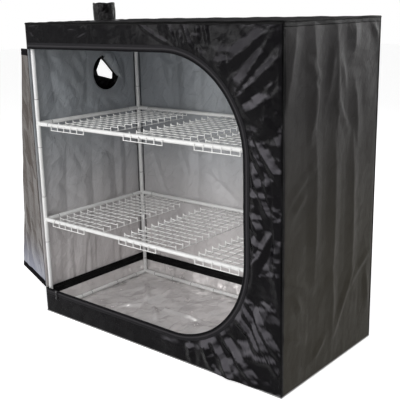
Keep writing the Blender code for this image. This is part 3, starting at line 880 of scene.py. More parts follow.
# %% The relief of the front panel
# Places are metres from the tent's left edge and from the ground, as from and to of each crease.
HEADER_CREASES = [
    (0.630, 1.190, 0.693, 1.156), (0.693, 1.156, 0.760, 1.125), (0.755, 1.190, 0.787, 1.123),
    (0.804, 1.165, 0.810, 1.120), (0.820, 1.190, 0.855, 1.112), (0.876, 1.190, 0.879, 1.145),
    (0.909, 1.190, 0.918, 1.135), (0.878, 1.121, 0.892, 1.091),
]
CORNER_CREASES = [
    (1.154, 1.176, 0.974, 1.060), (1.154, 1.141, 1.025, 0.975), (1.190, 1.100, 1.030, 0.965),
    (0.963, 1.049, 0.992, 1.099), (1.048, 0.916, 1.132, 0.963),
]
BAND_CREASES = [
    (1.066, 0.854, 1.139, 0.740), (1.139, 0.740, 1.159, 0.640), (1.103, 0.841, 1.190, 0.727),
    (1.065, 0.786, 1.168, 0.578), (1.076, 0.605, 1.118, 0.548), (1.068, 0.550, 1.110, 0.496),
    (1.167, 0.723, 1.188, 0.347), (1.176, 0.580, 1.075, 0.386), (1.068, 0.668, 1.155, 0.667),
]
LOWER_CREASES = [
    (0.806, 0.088, 0.813, 0.015), (0.883, 0.110, 0.904, 0.026), (0.915, 0.119, 0.990, 0.012),
    (0.956, 0.158, 1.098, 0.020), (1.027, 0.248, 1.139, 0.112), (1.049, 0.283, 1.184, 0.075),
    (1.058, 0.318, 1.190, 0.138), (1.081, 0.112, 1.183, 0.119),
]
LEFT_CREASES = [
    (0.295, 1.141, 0.356, 1.163), (0.254, 1.173, 0.289, 1.173), (0.022, 1.186, 0.077, 1.188),
    (0.025, 1.166, 0.044, 1.145), (0.083, 1.188, 0.065, 1.176), (0.061, 1.142, 0.085, 1.119),
]
FRONT_CREASES = [
    (0.0045, 0.011, 1.1, HEADER_CREASES), (0.0130, 0.036, 1.0, CORNER_CREASES),
    (0.0110, 0.027, 1.1, BAND_CREASES), (0.0120, 0.024, 1.0, LOWER_CREASES),
    (0.0018, 0.006, 1.1, LEFT_CREASES),
]


def from_opening(x, z):
    """How far a point of the front lies outside the opening's edge."""
    over = np.maximum.reduce([z - HIGH_TURN, LOW_TURN - z, 0 * z])
    return np.hypot(np.maximum(x - TURN_X, 0), over) - OPEN_RADIUS


def front_relief(x, z):
    """How far the front cloth stands out: it is taut on the left and crumpled right of the opening."""
    s = x - LEFT
    border = np.minimum.reduce([s, RIGHT - x, TOP - z, z])
    beside = ease((from_opening(x, z) - 0.016) / 0.035)
    right = ease((s - 0.60) / 0.30)
    calm = 1 - 0.65 * ease((z - 0.90) / 0.10)
    height = creases(s, z, FRONT_CREASES)
    height += (0.0006 + 0.0115 * right * calm) * facets(s, 0.45 * z, 0.050, 11)
    height += (0.0003 + 0.0016 * right) * facets(s, z, 0.020, 12, 0.9)
    height += 0.0012 * soft_noise(s, z, 0.12, 13) + 0.0012 + 0.0030 * right
    return np.clip(height, -0.0030, 0.0180) * ease(border / 0.007) * (0.12 + 0.88 * beside)


print("front creases", sum(len(group[-1]) for group in FRONT_CREASES))

# %% [markdown]
# The front's coated cloth is nearly black, and it mirrors the room on each flat facet. Where a facet
# leans upwards it is painted a lighter grey, a painted sheen in place of the lamps' glint, so that amount
# is kept on each point and the finish mixes it in. A black binding is sewn over the top edge.

# %% The front panel and its header band
# How much painted sheen a point gets, from the lean of its facet, and less near the top.
PAINTED_SHEEN_STEP = 0.0025
PAINTED_SHEEN_LEAN = 0.05
PAINTED_SHEEN_SPAN = 0.26
PAINTED_SHEEN_HELD = 0.62
PAINTED_SHEEN_TOP = 0.98
HEADER_BAND = 0.0085
HEADER_LIFT = 0.0009


def front_points(u, v):
    """The grid of the front panel."""
    s = u * PATH
    x, z = along_opening(s, v * room_outside(s))
    for z_corner in (0.0, TOP):
        nearest = np.argmin(np.hypot(x - RIGHT, z - z_corner))
        x[nearest], z[nearest] = RIGHT, z_corner
    return stack(x, FRONT - front_relief(x, z), z), stack(x, z)


def add_painted_sheen(sheet):
    """A painted sheen on the facets that lean upwards, kept as a number on each point."""
    x, _, z = points_of(sheet).T
    lean = (front_relief(x, z - PAINTED_SHEEN_STEP) - front_relief(x, z + PAINTED_SHEEN_STEP)) / (2 * PAINTED_SHEEN_STEP)
    amount = ease((lean - PAINTED_SHEEN_LEAN) / PAINTED_SHEEN_SPAN) * (1 - PAINTED_SHEEN_HELD * ease((z - PAINTED_SHEEN_TOP) / 0.10))
    sheet.data.attributes.new("painted_sheen", "FLOAT", "POINT").data.foreach_set("value", amount)


def header_band(u, v):
    """The black binding along the front's top edge, whose lower edge wanders."""
    x = LEFT + u * WIDTH
    drop = HEADER_BAND + 0.0022 * soft_noise(x, 0 * x, 0.025, 21) + 0.0018 * soft_noise(x, 0 * x, 0.09, 22)
    z = TOP - drop * (1 - v)
    return stack(x, FRONT - HEADER_LIFT - np.maximum(front_relief(x, z), 0), z), stack(x, z)


front = cloth_sheet("front", front_points, (0, -1, 0))
add_painted_sheen(front)
thicken(front)
finish_piece(front, "cloth_front_panel", ["cover", "lining"], nodes=["front_panel"])
header = thicken(cloth_sheet("header", header_band, (0, -1, 0)), BINDING_CLOTH, lining=False)
finish_piece(header, "band_front_panel", ["binding"])
opening_area = (OPEN_RIGHT - LEFT) * (OPEN_HIGH - OPEN_LOW) - (2 - math.pi / 2) * OPEN_RADIUS ** 2

# %% [markdown]
# The side and back walls hang from the top bars. Near the ground they lie on the tray's walls, so there
# they may only stand outwards. The folds of the right wall are the most visible ones: long soft ridges
# from top to bottom, with short slanting ones between them.

# %% The relief of the walls
RIGHT_FOLDS = [
    (0.300, 1.190, 0.312, 0.820), (0.302, 0.840, 0.306, 0.280), (0.295, 0.430, 0.313, 0.140),
    (0.064, 1.190, 0.016, 0.970), (0.163, 1.190, 0.175, 0.870), (0.179, 0.860, 0.187, 0.350),
    (0.425, 0.827, 0.444, 0.270), (0.422, 1.000, 0.455, 0.790), (0.416, 1.190, 0.411, 1.084),
]
RIGHT_CREASES = [
    (0.283, 1.102, 0.256, 0.953), (0.308, 0.933, 0.384, 0.837), (0.153, 0.833, 0.180, 0.989),
    (0.130, 1.079, 0.200, 1.020), (0.336, 1.060, 0.358, 0.983), (0.157, 0.739, 0.047, 0.663),
    (0.133, 0.673, 0.054, 0.606), (0.578, 0.358, 0.436, 0.273), (0.010, 0.397, 0.176, 0.320),
    (0.449, 0.317, 0.323, 0.109), (0.270, 0.129, 0.190, 0.062), (0.528, 1.188, 0.590, 1.127),
    (0.552, 0.287, 0.570, 0.143), (0.010, 0.203, 0.133, 0.162), (0.066, 0.339, 0.107, 0.265),
]
BACK_FOLDS = [
    (0.22, 1.19, 0.25, 0.80), (0.52, 1.19, 0.50, 0.60), (0.86, 1.15, 0.88, 0.20),
    (0.36, 0.75, 0.33, 0.15), (1.06, 1.10, 1.05, 0.45),
]
BACK_CREASES = [
    (0.380, 1.10, 0.374, 0.84), (0.10, 1.10, 0.26, 0.98), (0.148, 1.01, 0.202, 0.87),
    (0.394, 0.556, 0.584, 0.427), (0.066, 0.633, 0.151, 0.431), (0.62, 0.95, 0.78, 0.82),
    (0.40, 0.62, 0.58, 0.74), (0.90, 0.60, 1.06, 0.50), (0.70, 0.30, 0.84, 0.42),
    (0.24, 0.66, 0.31, 0.50), (0.44, 0.70, 0.47, 0.48), (0.20, 0.36, 0.30, 0.24),
]
LEFT_FOLDS = [
    (0.10, 1.19, 0.13, 0.82), (0.52, 0.80, 0.50, 0.30), (0.309, 0.72, 0.298, 0.16),
    (0.17, 0.75, 0.13, 0.15), (0.44, 0.70, 0.45, 0.15),
]
LEFT_WALL_CREASES = [
    (0.338, 0.925, 0.503, 0.816), (0.310, 1.071, 0.294, 0.818), (0.229, 1.035, 0.273, 0.970),
    (0.196, 0.964, 0.245, 0.909), (0.132, 0.908, 0.175, 0.849), (0.487, 1.040, 0.530, 0.950),
    (0.516, 1.010, 0.545, 0.900), (0.10, 1.08, 0.17, 0.98), (0.25, 1.10, 0.30, 1.03),
    (0.36, 0.88, 0.41, 0.82), (0.30, 0.70, 0.47, 0.58), (0.10, 0.55, 0.24, 0.44),
    (0.35, 0.38, 0.52, 0.28), (0.06, 0.80, 0.14, 0.70), (0.20, 0.66, 0.26, 0.56),
    (0.07, 0.42, 0.12, 0.30), (0.20, 0.34, 0.18, 0.20), (0.25, 0.86, 0.33, 0.83),
]


def wall_relief(s, z, width, folds_down, sharp, seed, pleat, port=None, crumple=1.0):
    """How far a wall's cloth stands out: soft folds, sharp creases and facets, still at its seams."""
    loose = ease(np.minimum.reduce([s, width - s, TOP - z, z]) / 0.020)
    height = creases(s, z, [(0.0105, 0.050, 1.3, folds_down), (0.0065, 0.026, 1.1, sharp)])
    height += crumple * 0.0022 * facets(s, 0.6 * z, 0.060, seed)
    height += crumple * 0.0010 * facets(s, z, 0.024, seed + 3, 1.1)
    height += 0.0022 * soft_noise(s, 0.25 * z, 0.085, seed + 5)
    height += pleat * ease((0.36 - z) / 0.16) * facets(s, 0.14 * z, 0.019, seed + 7, 0.1)
    inward = 0.0036 * ease((z - 0.112) / 0.03)
    if port:
        loose = loose * ease((np.hypot(s - port[0], z - port[1]) - port[2]) / 0.025)
    return np.clip(height + 0.0010, -inward, 0.0125) * loose


def wall_place(side, *shape, **more):
    """The function that puts a wall's grid in its plane, or a little inside the tent from it."""
    start, width = (LEFT, WIDTH) if side == "back" else (FRONT, DEPTH)
    plane, outward = {"right": (RIGHT, 1), "back": (BACK, 1), "left": (LEFT, -1)}[side]

    def place(u, v, inside=0.0):
        along = start + u * width
        z = v * TOP
        out = plane + outward * (wall_relief(along - start, z, width, *shape, **more) - inside)
        points = stack(along, out, z) if side == "back" else stack(out, along, z)
        return points, stack(along, z)
    return place


print("wall creases", len(RIGHT_CREASES), len(BACK_CREASES), len(LEFT_WALL_CREASES))

# %% [markdown]
# The left wall and the roof have a round port each, for a duct. The faces inside the circle are deleted,
# and the points left on the rim are moved onto the circle. The sleeve's flange then covers the cut.

# %% Cutting a round port
FLANGE = {"side": 0.020, "roof": 0.016}
FLANGE_ROOM = 0.002
BORE = {"side": 0.075, "roof": 0.043}
side_port = middle("side_duct_sleeve")
roof_port = middle("roof_duct_sleeve")
port_spot = (side_port.y - FRONT, side_port.z, BORE["side"] + FLANGE["side"] + FLANGE_ROOM)


def cut_port(sheet, center, radius, axis):
    """Deletes the faces in the circle and puts the rim's points on it."""
    center = Vector(center)

    def offset(point):
        away = point - center
        away[axis] = 0
        return away
    edit_faces(sheet, lambda face: offset(face.center).length < radius)
    bpy.ops.mesh.delete(type="FACE")
    bpy.ops.mesh.select_all(action="SELECT")
    bpy.ops.mesh.region_to_loop()
    end_edit()
    for vertex in sheet.data.vertices:
        away = offset(vertex.co)
        if vertex.select and away.length < 1.3 * radius:
            vertex.co += away.normalized() * radius - away


print("ports of", BORE, "with flanges of", FLANGE)

# %% The three walls
SEAM_FROM_CORNER = 0.017
SEAM_WIDTH = 0.0032
SEAM_FOOT = 0.095
SEAM_RUN = 0.90
SEAM_LIFT = 0.0009
TOP_BAND = 0.017
TOP_BAND_LIFT = 0.0011
EDGE_BAND = 0.011
EDGE_BAND_LIFT = 0.0009


def inner_seams(side, place, width, inward):
    """The narrow black bindings of the upright seams near a wall's two ends, on its inside."""
    names = [f"seam_{side}_near", f"seam_{side}_far"]
    starts = [SEAM_FROM_CORNER, width - SEAM_FROM_CORNER - SEAM_WIDTH]
    for name, start in zip(names, starts):
        def along(u, v):
            return place((start + u * SEAM_WIDTH) / width, SEAM_FOOT + SEAM_RUN * v, CLOTH + SEAM_LIFT)
        seam = thicken(cloth_sheet("seam", along, inward), THIN_CLOTH, lining=False)
        finish_piece(seam, name, ["binding"])
    return names


def right_bands():
    """The black binding that is sewn over the right wall's top edge and down its front edge."""
    def over_top(u, v):
        return right_place(u, 1 - TOP_BAND / TOP * (1 - v), -TOP_BAND_LIFT)

    def down_edge(u, v):
        return right_place(u * EDGE_BAND / DEPTH, v * (1 - TOP_BAND / TOP), -EDGE_BAND_LIFT)
    bands = join([cloth_sheet("top band", over_top, (1, 0, 0)),
                  cloth_sheet("edge band", down_edge, (1, 0, 0))])
    thicken(bands, BINDING_CLOTH, lining=False)
    return finish_piece(bands, "band_right_wall", ["binding"])


right_place = wall_place("right", RIGHT_FOLDS, RIGHT_CREASES, 31, 0.0012, crumple=0.35)
back_place = wall_place("back", BACK_FOLDS, BACK_CREASES, 51, 0.0030)
left_place = wall_place("left", LEFT_FOLDS, LEFT_WALL_CREASES, 71, 0.0055, port_spot)
walls = {"right": (right_place, DEPTH, Vector((1, 0, 0))), "back": (back_place, WIDTH, Vector((0, 1, 0))),
         "left": (left_place, DEPTH, Vector((-1, 0, 0)))}
for side, (place, width, outward) in walls.items():
    wall = cloth_sheet(side, place, outward)
    area = None
    if side == "left":
        cut_port(wall, (LEFT, side_port.y, side_port.z), BORE["side"], 0)
        area = width * TOP - math.pi * BORE["side"] ** 2
    thicken(wall)
    finish_piece(wall, f"cloth_{side}_wall", ["wall", "lining"], nodes=[f"{side}_wall"])
    sewn_on = [right_bands().name] if side == "right" else []
    seams = inner_seams(side, place, width, -outward)
    print(side, "wall", len(wall.data.polygons), "faces")


# %% [markdown]
# The roof lies on the top bars, so it only stands a little proud between them. The floor panel is out
# of sight under the tray, so its solid is shown as it is, with the cover's finish.

# %% The roof and the floor
def roof_points(u, v):
    """The grid of the roof, which lies on the top bars and stands a little proud between them."""
    s, t = u * WIDTH, v * DEPTH
    x, y = LEFT + s, FRONT + t
    loose = ease(np.minimum.reduce([s, RIGHT - x, t, BACK - y]) / 0.03)
    height = 0.0012 + 0.0008 * soft_noise(s, t, 0.14, 91) + 0.0010 * facets(s, t, 0.07, 92)
    height += 0.0004 * facets(s, t, 0.03, 93)
    from_port = np.hypot(x - roof_port.x, y - roof_port.y) - BORE["roof"] - FLANGE["roof"] - FLANGE_ROOM
    loose = loose * ease(from_port / 0.02)
    return stack(x, y, TOP + np.clip(height, 0, 0.0050) * loose), stack(x, y)


roof = cloth_sheet("roof", roof_points, (0, 0, 1))
cut_port(roof, (roof_port.x, roof_port.y, TOP), BORE["roof"], 2)
thicken(roof)
finish_piece(roof, "cloth_roof_panel", ["roof", "lining"], nodes=["roof_panel"])
floor_cloth = frame["nodes"]["floor_panel"]
floor_cloth.data.materials.clear()
floor_cloth.data.materials.append(FINISHES["cover"])
print("roof", len(roof.data.polygons), "faces")

# %% [markdown]
# The floor tray is a shallow box of stiff foil cloth that lifts out. Its bottom is a grid, and its walls
# are extruded up from the grid's rim in small steps, so they can be crumpled too. A black binding is
# sewn over the top edge.

# %% The floor tray's form
# Places are metres from the tray's middle, as from and to of each ridge.
TRAY_RIDGES = [
    (-0.307, 0.003, -0.323, 0.258), (-0.251, -0.103, -0.299, -0.005), (-0.498, 0.207, -0.311, 0.013),
    (-0.267, 0.005, -0.121, -0.119), (-0.231, -0.008, 0.075, 0.007), (-0.491, 0.024, -0.433, 0.159),
    (-0.158, 0.157, -0.082, 0.272), (-0.277, -0.003, -0.373, -0.089), (0.10, -0.20, 0.30, 0.24),
    (0.36, -0.16, 0.46, 0.20), (-0.02, -0.22, -0.06, -0.05), (0.02, 0.10, 0.12, 0.24),
]
TRAY_CREASES = [(0.0110, 0.014, 1.0, TRAY_RIDGES)]
TRAY_STEPS = 12
TRAY_EDGE = 0.023
BINDING = 0.038
tray_low, tray_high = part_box("floor_tray")
tray_size = tray_high - tray_low
tray = new_piece(bpy.ops.mesh.primitive_grid_add, x_subdivisions=200, y_subdivisions=100, size=1)
tray.scale = (tray_size.x, tray_size.y, 1)
tray.location = (0, 0, tray_low.z)
bpy.ops.object.transform_apply(location=True, scale=True)
edit_all(tray)
bpy.ops.mesh.region_to_loop()
for step in range(TRAY_STEPS):
    extrude_by((0, 0, tray_size.z / TRAY_STEPS))
end_edit()
print("tray", len(tray.data.polygons), "faces before its relief")

# %% The floor tray's relief
points = points_of(tray)
place = points[:, :2].copy()
up = points[:, 2] - tray_low.z
edge = np.array(tray_size[:2]) / 2 - np.abs(place)
bottom = up < TINY
relief = creases(*place.T, TRAY_CREASES) + 0.0050 * facets(*place.T, 0.055, 111)
relief += 0.0012 * facets(place[:, 0], 0.5 * place[:, 1], 0.016, 113, 0.8) + 0.0030
inside = ease((edge.min(axis=1) - TRAY_EDGE) / 0.02)
points[:, 2] += np.where(bottom, np.clip(relief, 0, 0.014) * inside, 0)
lift = ease(up / 0.02) * ease((tray_size.z - BINDING - up) / 0.012)
for axis in (0, 1):
    along = points[:, 1 - axis]
    push = 0.0034 + 0.0030 * facets(along, 0.6 * up, 0.034, 115 + axis)
    push += 0.0022 * facets(along, 0.4 * up, 0.014, 117 + axis, 0.1)
    push *= lift * ease(edge[:, 1 - axis] / 0.02)
    on_wall = (~bottom) & (edge[:, axis] < TINY)
    points[:, axis] -= np.where(on_wall, np.sign(points[:, axis]) * np.clip(push, 0, 0.01), 0)
place_points(tray, points, place + np.sign(place) * np.where(edge < TINY, up[:, None], 0))
face_outwards(tray)
if tray.data.polygons[0].normal.z > 0:
    tray.data.flip_normals()
thicken(tray)
finish_piece(tray, "foil_floor_tray", ["cover", "tray foil"], nodes=["floor_tray"])
print("tray", len(tray.data.polygons), "faces")

# %% The tray's binding
BINDING_WALL = 0.0030
BINDING_BEVEL = 0.0008
BINDING_RISE = 0.0006
BINDING_INSET = BINDING_WALL / 2 - 0.0001


def soft_box(size, bevel, place=(0, 0, 0)):
    """A soft-edged box, for bindings, teeth and small metal parts."""
    box = new_piece(bpy.ops.mesh.primitive_cube_add, size=1, location=place)
    box.scale = size
    bpy.ops.object.transform_apply(location=True, scale=True)
    edit_all(box)
    bpy.ops.mesh.bevel(offset=bevel, segments=2, affect="EDGES")
    end_edit()
    bpy.ops.object.shade_smooth_by_angle(angle=SMOOTH_ANGLE)
    return box


parts = []
bind_z = tray_high.z - BINDING / 2 + BINDING_RISE
for sign in (-1, 1):
    y = sign * (tray_size.y / 2 - BINDING_INSET)
    x = sign * (tray_size.x / 2 - BINDING_INSET)
    parts.append(soft_box((tray_size.x, BINDING_WALL, BINDING), BINDING_BEVEL, (0, y, bind_z)))
    parts.append(soft_box((BINDING_WALL, tray_size.y, BINDING), BINDING_BEVEL, (x, 0, bind_z)))
finish_piece(join(parts), "tray_binding", ["binding"])
print("binding height", BINDING)

# %% [markdown]
# The zip runs round the opening. Its tape is a strip grid that is laid along the same path as the front
# panel's edge, on the panel's relief. The coil is one small tooth, copied in an array along a straight
# line and then bent onto the path by the same function.

# %% The zip's tape
TAPE_LIFT = 0.0009
TAPE_CLOTH = 0.0007
TAPE_END = 0.0008


def lay_on_opening(piece, lift):
    """Bends a piece: its X goes along the opening, its Y outwards from it and its Z off the cloth."""
    along, out, off = points_of(piece).T
    x, z = along_opening(along, out)
    place_points(piece, stack(x, FRONT - front_relief(x, z) - lift - off, z))


def tape_points(u, v):
    """A straight tape from the path's start to its end."""
    return stack(TAPE_END + u * (PATH - 2 * TAPE_END), v * TAPE, 0 * u), stack(u * PATH, v * TAPE)


tape = cloth_sheet("zip", tape_points, (0, 0, 1))
lay_on_opening(tape, TAPE_LIFT)
if tape.data.polygons[0].normal.y > 0:
    tape.data.flip_normals()
thicken(tape, TAPE_CLOTH, lining=False)
finish_piece(tape, "cloth_zip_tape", ["tape"], nodes=["zip_tape"])
print("tape", len(tape.data.polygons), "faces")

# %% The zip's teeth
TOOTH = (0.0017, 0.0050, 0.0016)
TOOTH_BEVEL = 0.0004
TOOTH_OUT = 0.0040
TOOTH_LIFT = 0.0010
TOOTH_PITCH = 0.0032
TOOTH_COUNT = int(PATH / TOOTH_PITCH) - 1
teeth = soft_box(TOOTH, TOOTH_BEVEL, (TOOTH_PITCH, TOOTH_OUT, TOOTH[2] / 2))
row = teeth.modifiers.new("row", "ARRAY")
row.use_relative_offset = False
row.use_constant_offset = True
row.constant_offset_displace = (TOOTH_PITCH, 0, 0)
row.count = TOOTH_COUNT
activate(teeth)
bpy.ops.object.modifier_apply(modifier=row.name)
lay_on_opening(teeth, TOOTH_LIFT)
face_outwards(teeth)
finish_piece(teeth, "zip_teeth", ["coil"])
print("zip", round(PATH, 2), "m with", TOOTH_COUNT, "teeth")

# %% [markdown]
# The slider is a small cast body with a bridge, and a pull that hangs from it. At a few millimetres it is
# three soft-edged boxes. The pull's face is inset and sunk, as a stamped tab's is.

# %% The zip slider
# The body and the bridge each have a size, a bevel, and how far their middle is in front of and below
# the upper back edge of the slider's box.
SLIDER_BODY = ((0.013, 0.0042, 0.0088), 0.0012, 0.0021, 0.0045)
SLIDER_BRIDGE = ((0.0022, 0.0022, 0.0080), 0.0008, 0.0042, 0.0048)
PULL_SIZE = (0.0058, 0.0019, 0.0330)
PULL_BEVEL = 0.0008
PULL_RIM = 0.0012
PULL_SUNK = 0.0005
PULL_BACK = 0.0011
PULL_UP = 0.0166
slider_low, slider_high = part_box("zip_slider")
slider_x = middle("zip_slider").x
parts = []
for size, bevel, forward, down in (SLIDER_BODY, SLIDER_BRIDGE):
    parts.append(soft_box(size, bevel, (slider_x, slider_high.y - forward, slider_high.z - down)))
pull = soft_box(PULL_SIZE, PULL_BEVEL, (slider_x, slider_low.y + PULL_BACK, slider_low.z + PULL_UP))
edit_faces(pull, lambda face: face.normal.y < -FACING)
bpy.ops.mesh.inset(thickness=PULL_RIM)
extrude_by((0, PULL_SUNK, 0))
end_edit()
slider = join(parts + [pull])
finish_piece(slider, "metal_zip_slider", ["enamel"], "zip_slider", ["zip_slider"])
print("slider", [round(value * 1000, 1) for value in slider_high - slider_low], "mm")

# %% [markdown]
# The door is one piece of cloth that hangs open, swung round its left seam and folded twice on itself.
# It is drawn flat first, as when it is shut, and each point is then turned about the hinge and the two
# folds. Near a fold the turn grows gradually, so the cloth bends round instead of breaking. Two sheets
# share it, because a sheet can bend across one joint only.

# %% The door's edges and folds
JOINTS = {joint["name"]: joint for joint in frame["joints"]}
DOOR_GAP = 0.0005
DOOR_LOW = OPEN_LOW + DOOR_GAP
DOOR_HIGH = OPEN_HIGH - DOOR_GAP
DOOR_HEIGHT = DOOR_HIGH - DOOR_LOW
FOLD_AT_FOOT = 0.330
FOLD_AT_TOP = 0.080
SECOND_FOLD = 0.635
BEND_ROOM = {"door_first_fold": 0.012, "door_second_fold": 0.004}
FOLD_ROOM = 0.05
HINGE_GAP = CLOTH + 0.0004
EDGE_GAP = 0.0006
DOOR_FOLDS = [
    (0.06, 1.05, 0.10, 0.20), (0.16, 0.70, 0.20, 0.13), (0.26, 0.45, 0.27, 0.13),
    (0.45, 1.00, 0.43, 0.20), (0.78, 0.95, 0.80, 0.30),
]
DOOR_CREASES = [(0.0050, 0.05, 1.8, DOOR_FOLDS)]


def first_fold(z):
    """How far the slanting first fold is from the hinge."""
    return FOLD_AT_FOOT + (FOLD_AT_TOP - FOLD_AT_FOOT) * (z - DOOR_LOW) / DOOR_HEIGHT


def second_fold(z):
    """How far the upright second fold is from the hinge."""
    return SECOND_FOLD + 0 * z


def halfway(z):
    """Where the two sheets meet, in the middle of the middle strip."""
    return (first_fold(z) + SECOND_FOLD) / 2


def door_edge(z):
    """How far the free edge is from the hinge."""
    over = np.maximum(z - HIGH_TURN, 0) + np.maximum(LOW_TURN - z, 0)
    return TURN_X - LEFT + np.sqrt(np.maximum(OPEN_RADIUS ** 2 - over ** 2, 0)) - EDGE_GAP


print("door", round(DOOR_HEIGHT, 3), "m high, folds at", FOLD_AT_FOOT, FOLD_AT_TOP, SECOND_FOLD)

# %% How the open door hangs
def joint_axis(name):
    """The direction of a joint's axis."""
    axis = np.array(JOINTS[name]["axis"], float)
    return axis / np.linalg.norm(axis)


def turned(points, name, share):
    """Points turned about a joint's axis, back from shut to open, by a share of its range each."""
    axis, origin = joint_axis(name), np.array(JOINTS[name]["pos_m"], float)
    angle = -math.radians(JOINTS[name]["range_deg"][1]) * share
    away = points - origin
    cos, sin = np.cos(angle)[:, None], np.sin(angle)[:, None]
    return origin + away * cos + np.cross(axis, away) * sin + axis * (away @ axis)[:, None] * (1 - cos)


def opened(points, s, z):
    """Points of the shut door, swung and folded as far as the door goes."""
    points = turned(points, "door_swing", np.ones_like(s))
    lean = math.cos(math.atan((FOLD_AT_FOOT - FOLD_AT_TOP) / DOOR_HEIGHT))
    past = {"door_first_fold": (s - first_fold(z)) * lean, "door_second_fold": s - SECOND_FOLD}
    for name, distance in past.items():
        points = turned(points, name, ease(0.5 + distance / (2 * BEND_ROOM[name])))
    return points


def open_door(s, z, inside=0.0):
    """The open door's points, from the shut door's distance from the hinge, height and depth in the cloth."""
    border = np.minimum.reduce([s, door_edge(z) - s, DOOR_HIGH - z, z - DOOR_LOW])
    relief = creases(s, z, DOOR_CREASES) + 0.0012 * facets(s, z, 0.07, 131)
    relief += 0.0015 * soft_noise(s, 0.3 * z, 0.06, 133)
    height = np.clip(relief + 0.0005, -0.0008, 0.008) * ease(border / 0.02)
    height = np.clip(height, None, FOLD_ROOM * np.abs(s - SECOND_FOLD))
    return opened(stack(LEFT + s, FRONT - height + inside, z), s, z)


def across_fold(fold_at, name, z=0.6, reach=0.05):
    """Two points on either side of a fold of the open door, square to it."""
    s, z = fold_at(z) + np.array([-reach, 0, reach]), np.full(3, z)
    before, center, after = opened(stack(LEFT + s, FRONT, z), s, z)
    run = after - before
    run -= joint_axis(name) * (run @ joint_axis(name))
    half = run * BEND_ROOM[name] / reach / 2
    return Vector(center - half), Vector(center + half)


print("door joints", {name: JOINTS[name]["range_deg"][1] for name in JOINTS if name.startswith("door")})

# %% The two sheets of the door and their tapes
TAPE_INSIDE = CLOTH + 0.0008
TAPE_INSET = 0.0008
TAPE_RIDGE = 0.0003
RIDGE_AT = 0.12


def door_sheet(grid, before_fold, near, fold, far, outward):
    """A part of the door between two distances from the hinge, with a column of the grid on its fold."""
    share = before_fold / GRIDS[grid][0]

    def place(u, v):
        z = DOOR_LOW + v * DOOR_HEIGHT
        before = near(z) + u / share * (fold(z) - near(z))
        after = fold(z) + (u - share) / (1 - share) * (far(z) - fold(z))
        s = np.where(u < share, before, after)
        return open_door(s, z), stack(s, z)
    return thicken(cloth_sheet(grid, place, outward))


def door_tape(grid, start, end, outward=(0, -1, 0)):
    """A run of the zip's other tape, on the lining side of the door, along the door's own edge."""
    def place(u, v):
        s = start + u * (end - start)
        x, z = along_opening(s, -TAPE_INSET - v * TAPE)
        ridge = TAPE_RIDGE * ease(1 - np.abs(v - RIDGE_AT) / RIDGE_AT)
        points = open_door(x - LEFT, np.clip(z, DOOR_LOW, DOOR_HIGH), TAPE_INSIDE + ridge)
        return points, stack(s, v * TAPE)
    return cloth_sheet(grid, place, outward)


inner_half = door_sheet("inner door", 40, lambda z: HINGE_GAP + 0 * z, first_fold, halfway, (0, 1, 0))
outer_half = door_sheet("outer door", 36, halfway, second_fold, door_edge, (0, -1, 0))
meet_high = halfway(DOOR_HIGH)
meet_low = PATH - halfway(DOOR_LOW)
inner_tape = join([door_tape("inner tape top", HINGE_GAP, meet_high),
                   door_tape("inner tape foot", meet_low, PATH - HINGE_GAP)])
outer_tape = door_tape("outer tape", meet_high, meet_low, (0, 1, 0))
inner_area = DOOR_HEIGHT * (halfway(DOOR_LOW) + halfway(DOOR_HIGH)) / 2
outer_width = OPEN_RIGHT - LEFT - halfway(DOOR_HIGH)
DOOR_SHEETS = {
    "inner": (inner_half, inner_tape, ["door_inner", "door_middle"], SECOND_FOLD, inner_area,
              ("door_inner", "door_middle", *across_fold(first_fold, "door_first_fold"))),
    "outer": (outer_half, outer_tape, ["door_outer"], outer_width, opening_area - inner_area,
              ("door_middle", "door_outer", *across_fold(second_fold, "door_second_fold"))),
}
for which, (half, tape_run, nodes, width, area, bend) in DOOR_SHEETS.items():
    # The door's silver side is the door foil: painted shade, and a painted reflection at its foot.
    finish_piece(half, f"cloth_door_{which}_half", ["cover", "door foil in painted shade"], None, nodes)
    thicken(tape_run, THIN_CLOTH, lining=False)
    finish_piece(tape_run, f"door_tape_{which}", ["door tape"], None)
    for piece in (half, tape_run):
        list(bend)
        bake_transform(piece)
    print("door", which, len(half.data.polygons), "faces")

# %% [markdown]
# A duct sleeve is a short tube of limp black cloth, sewn to the cover by a flange. The roof's sleeve
# stands up and is drawn in at its hem. The side one is pushed back into itself, so its hem lies inside
# the outer tube and leaves only a crooked gap. Both are one fine grid whose rows follow a profile.

# %% Tools for the duct sleeves
SLEEVE_CLOTH = 0.0012
SLEEVE_ROOM = 0.0012
FLANGE_SHARE = 0.12
FLANGE_LIFT = 0.0012
FULL_TURN = 2 * math.pi


def limp_wave(angle, up, seed):
    """The waves of limp cloth round a sleeve, from about -1 to 1."""
    wave = np.sin(3 * angle + seed) * 0.40 + np.sin(7 * angle + 2 * seed + 3 * up) * 0.35
    return wave + np.sin(13 * angle + 5 * seed + 2 * up) * 0.25


def share_between(v, start, end):
    """0 before the start, 1 past the end, and even between."""
    return np.clip((v - start) / (end - start), 0, 1)


def round_sheet(grid, place):
    """A sheet that closes on itself round Z, with its faces outwards."""
    tube = cloth_sheet(grid, place, (0, 0, 1))
    edit_all(tube)
    bpy.ops.mesh.remove_doubles(threshold=MERGE)
    bpy.ops.mesh.normals_make_consistent(inside=False)
    end_edit()
    return tube


def seat_sleeve(tube, side, matrix):
    """Puts a sleeve on its port and gives it its thickness."""
    tube.data.transform(matrix)
    thicken(tube, SLEEVE_CLOTH, lining=False)
    finish_piece(tube, f"cloth_{side}_sleeve", ["sleeve", "sleeve in painted light"],
                 nodes=[f"{side}_duct_sleeve"])


# %% The roof's sleeve
roof_low, roof_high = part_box("roof_duct_sleeve")
ROOF_RISE = roof_high.z - roof_low.z
ROOF_FLAT = ROOF_RISE + FLANGE["roof"]


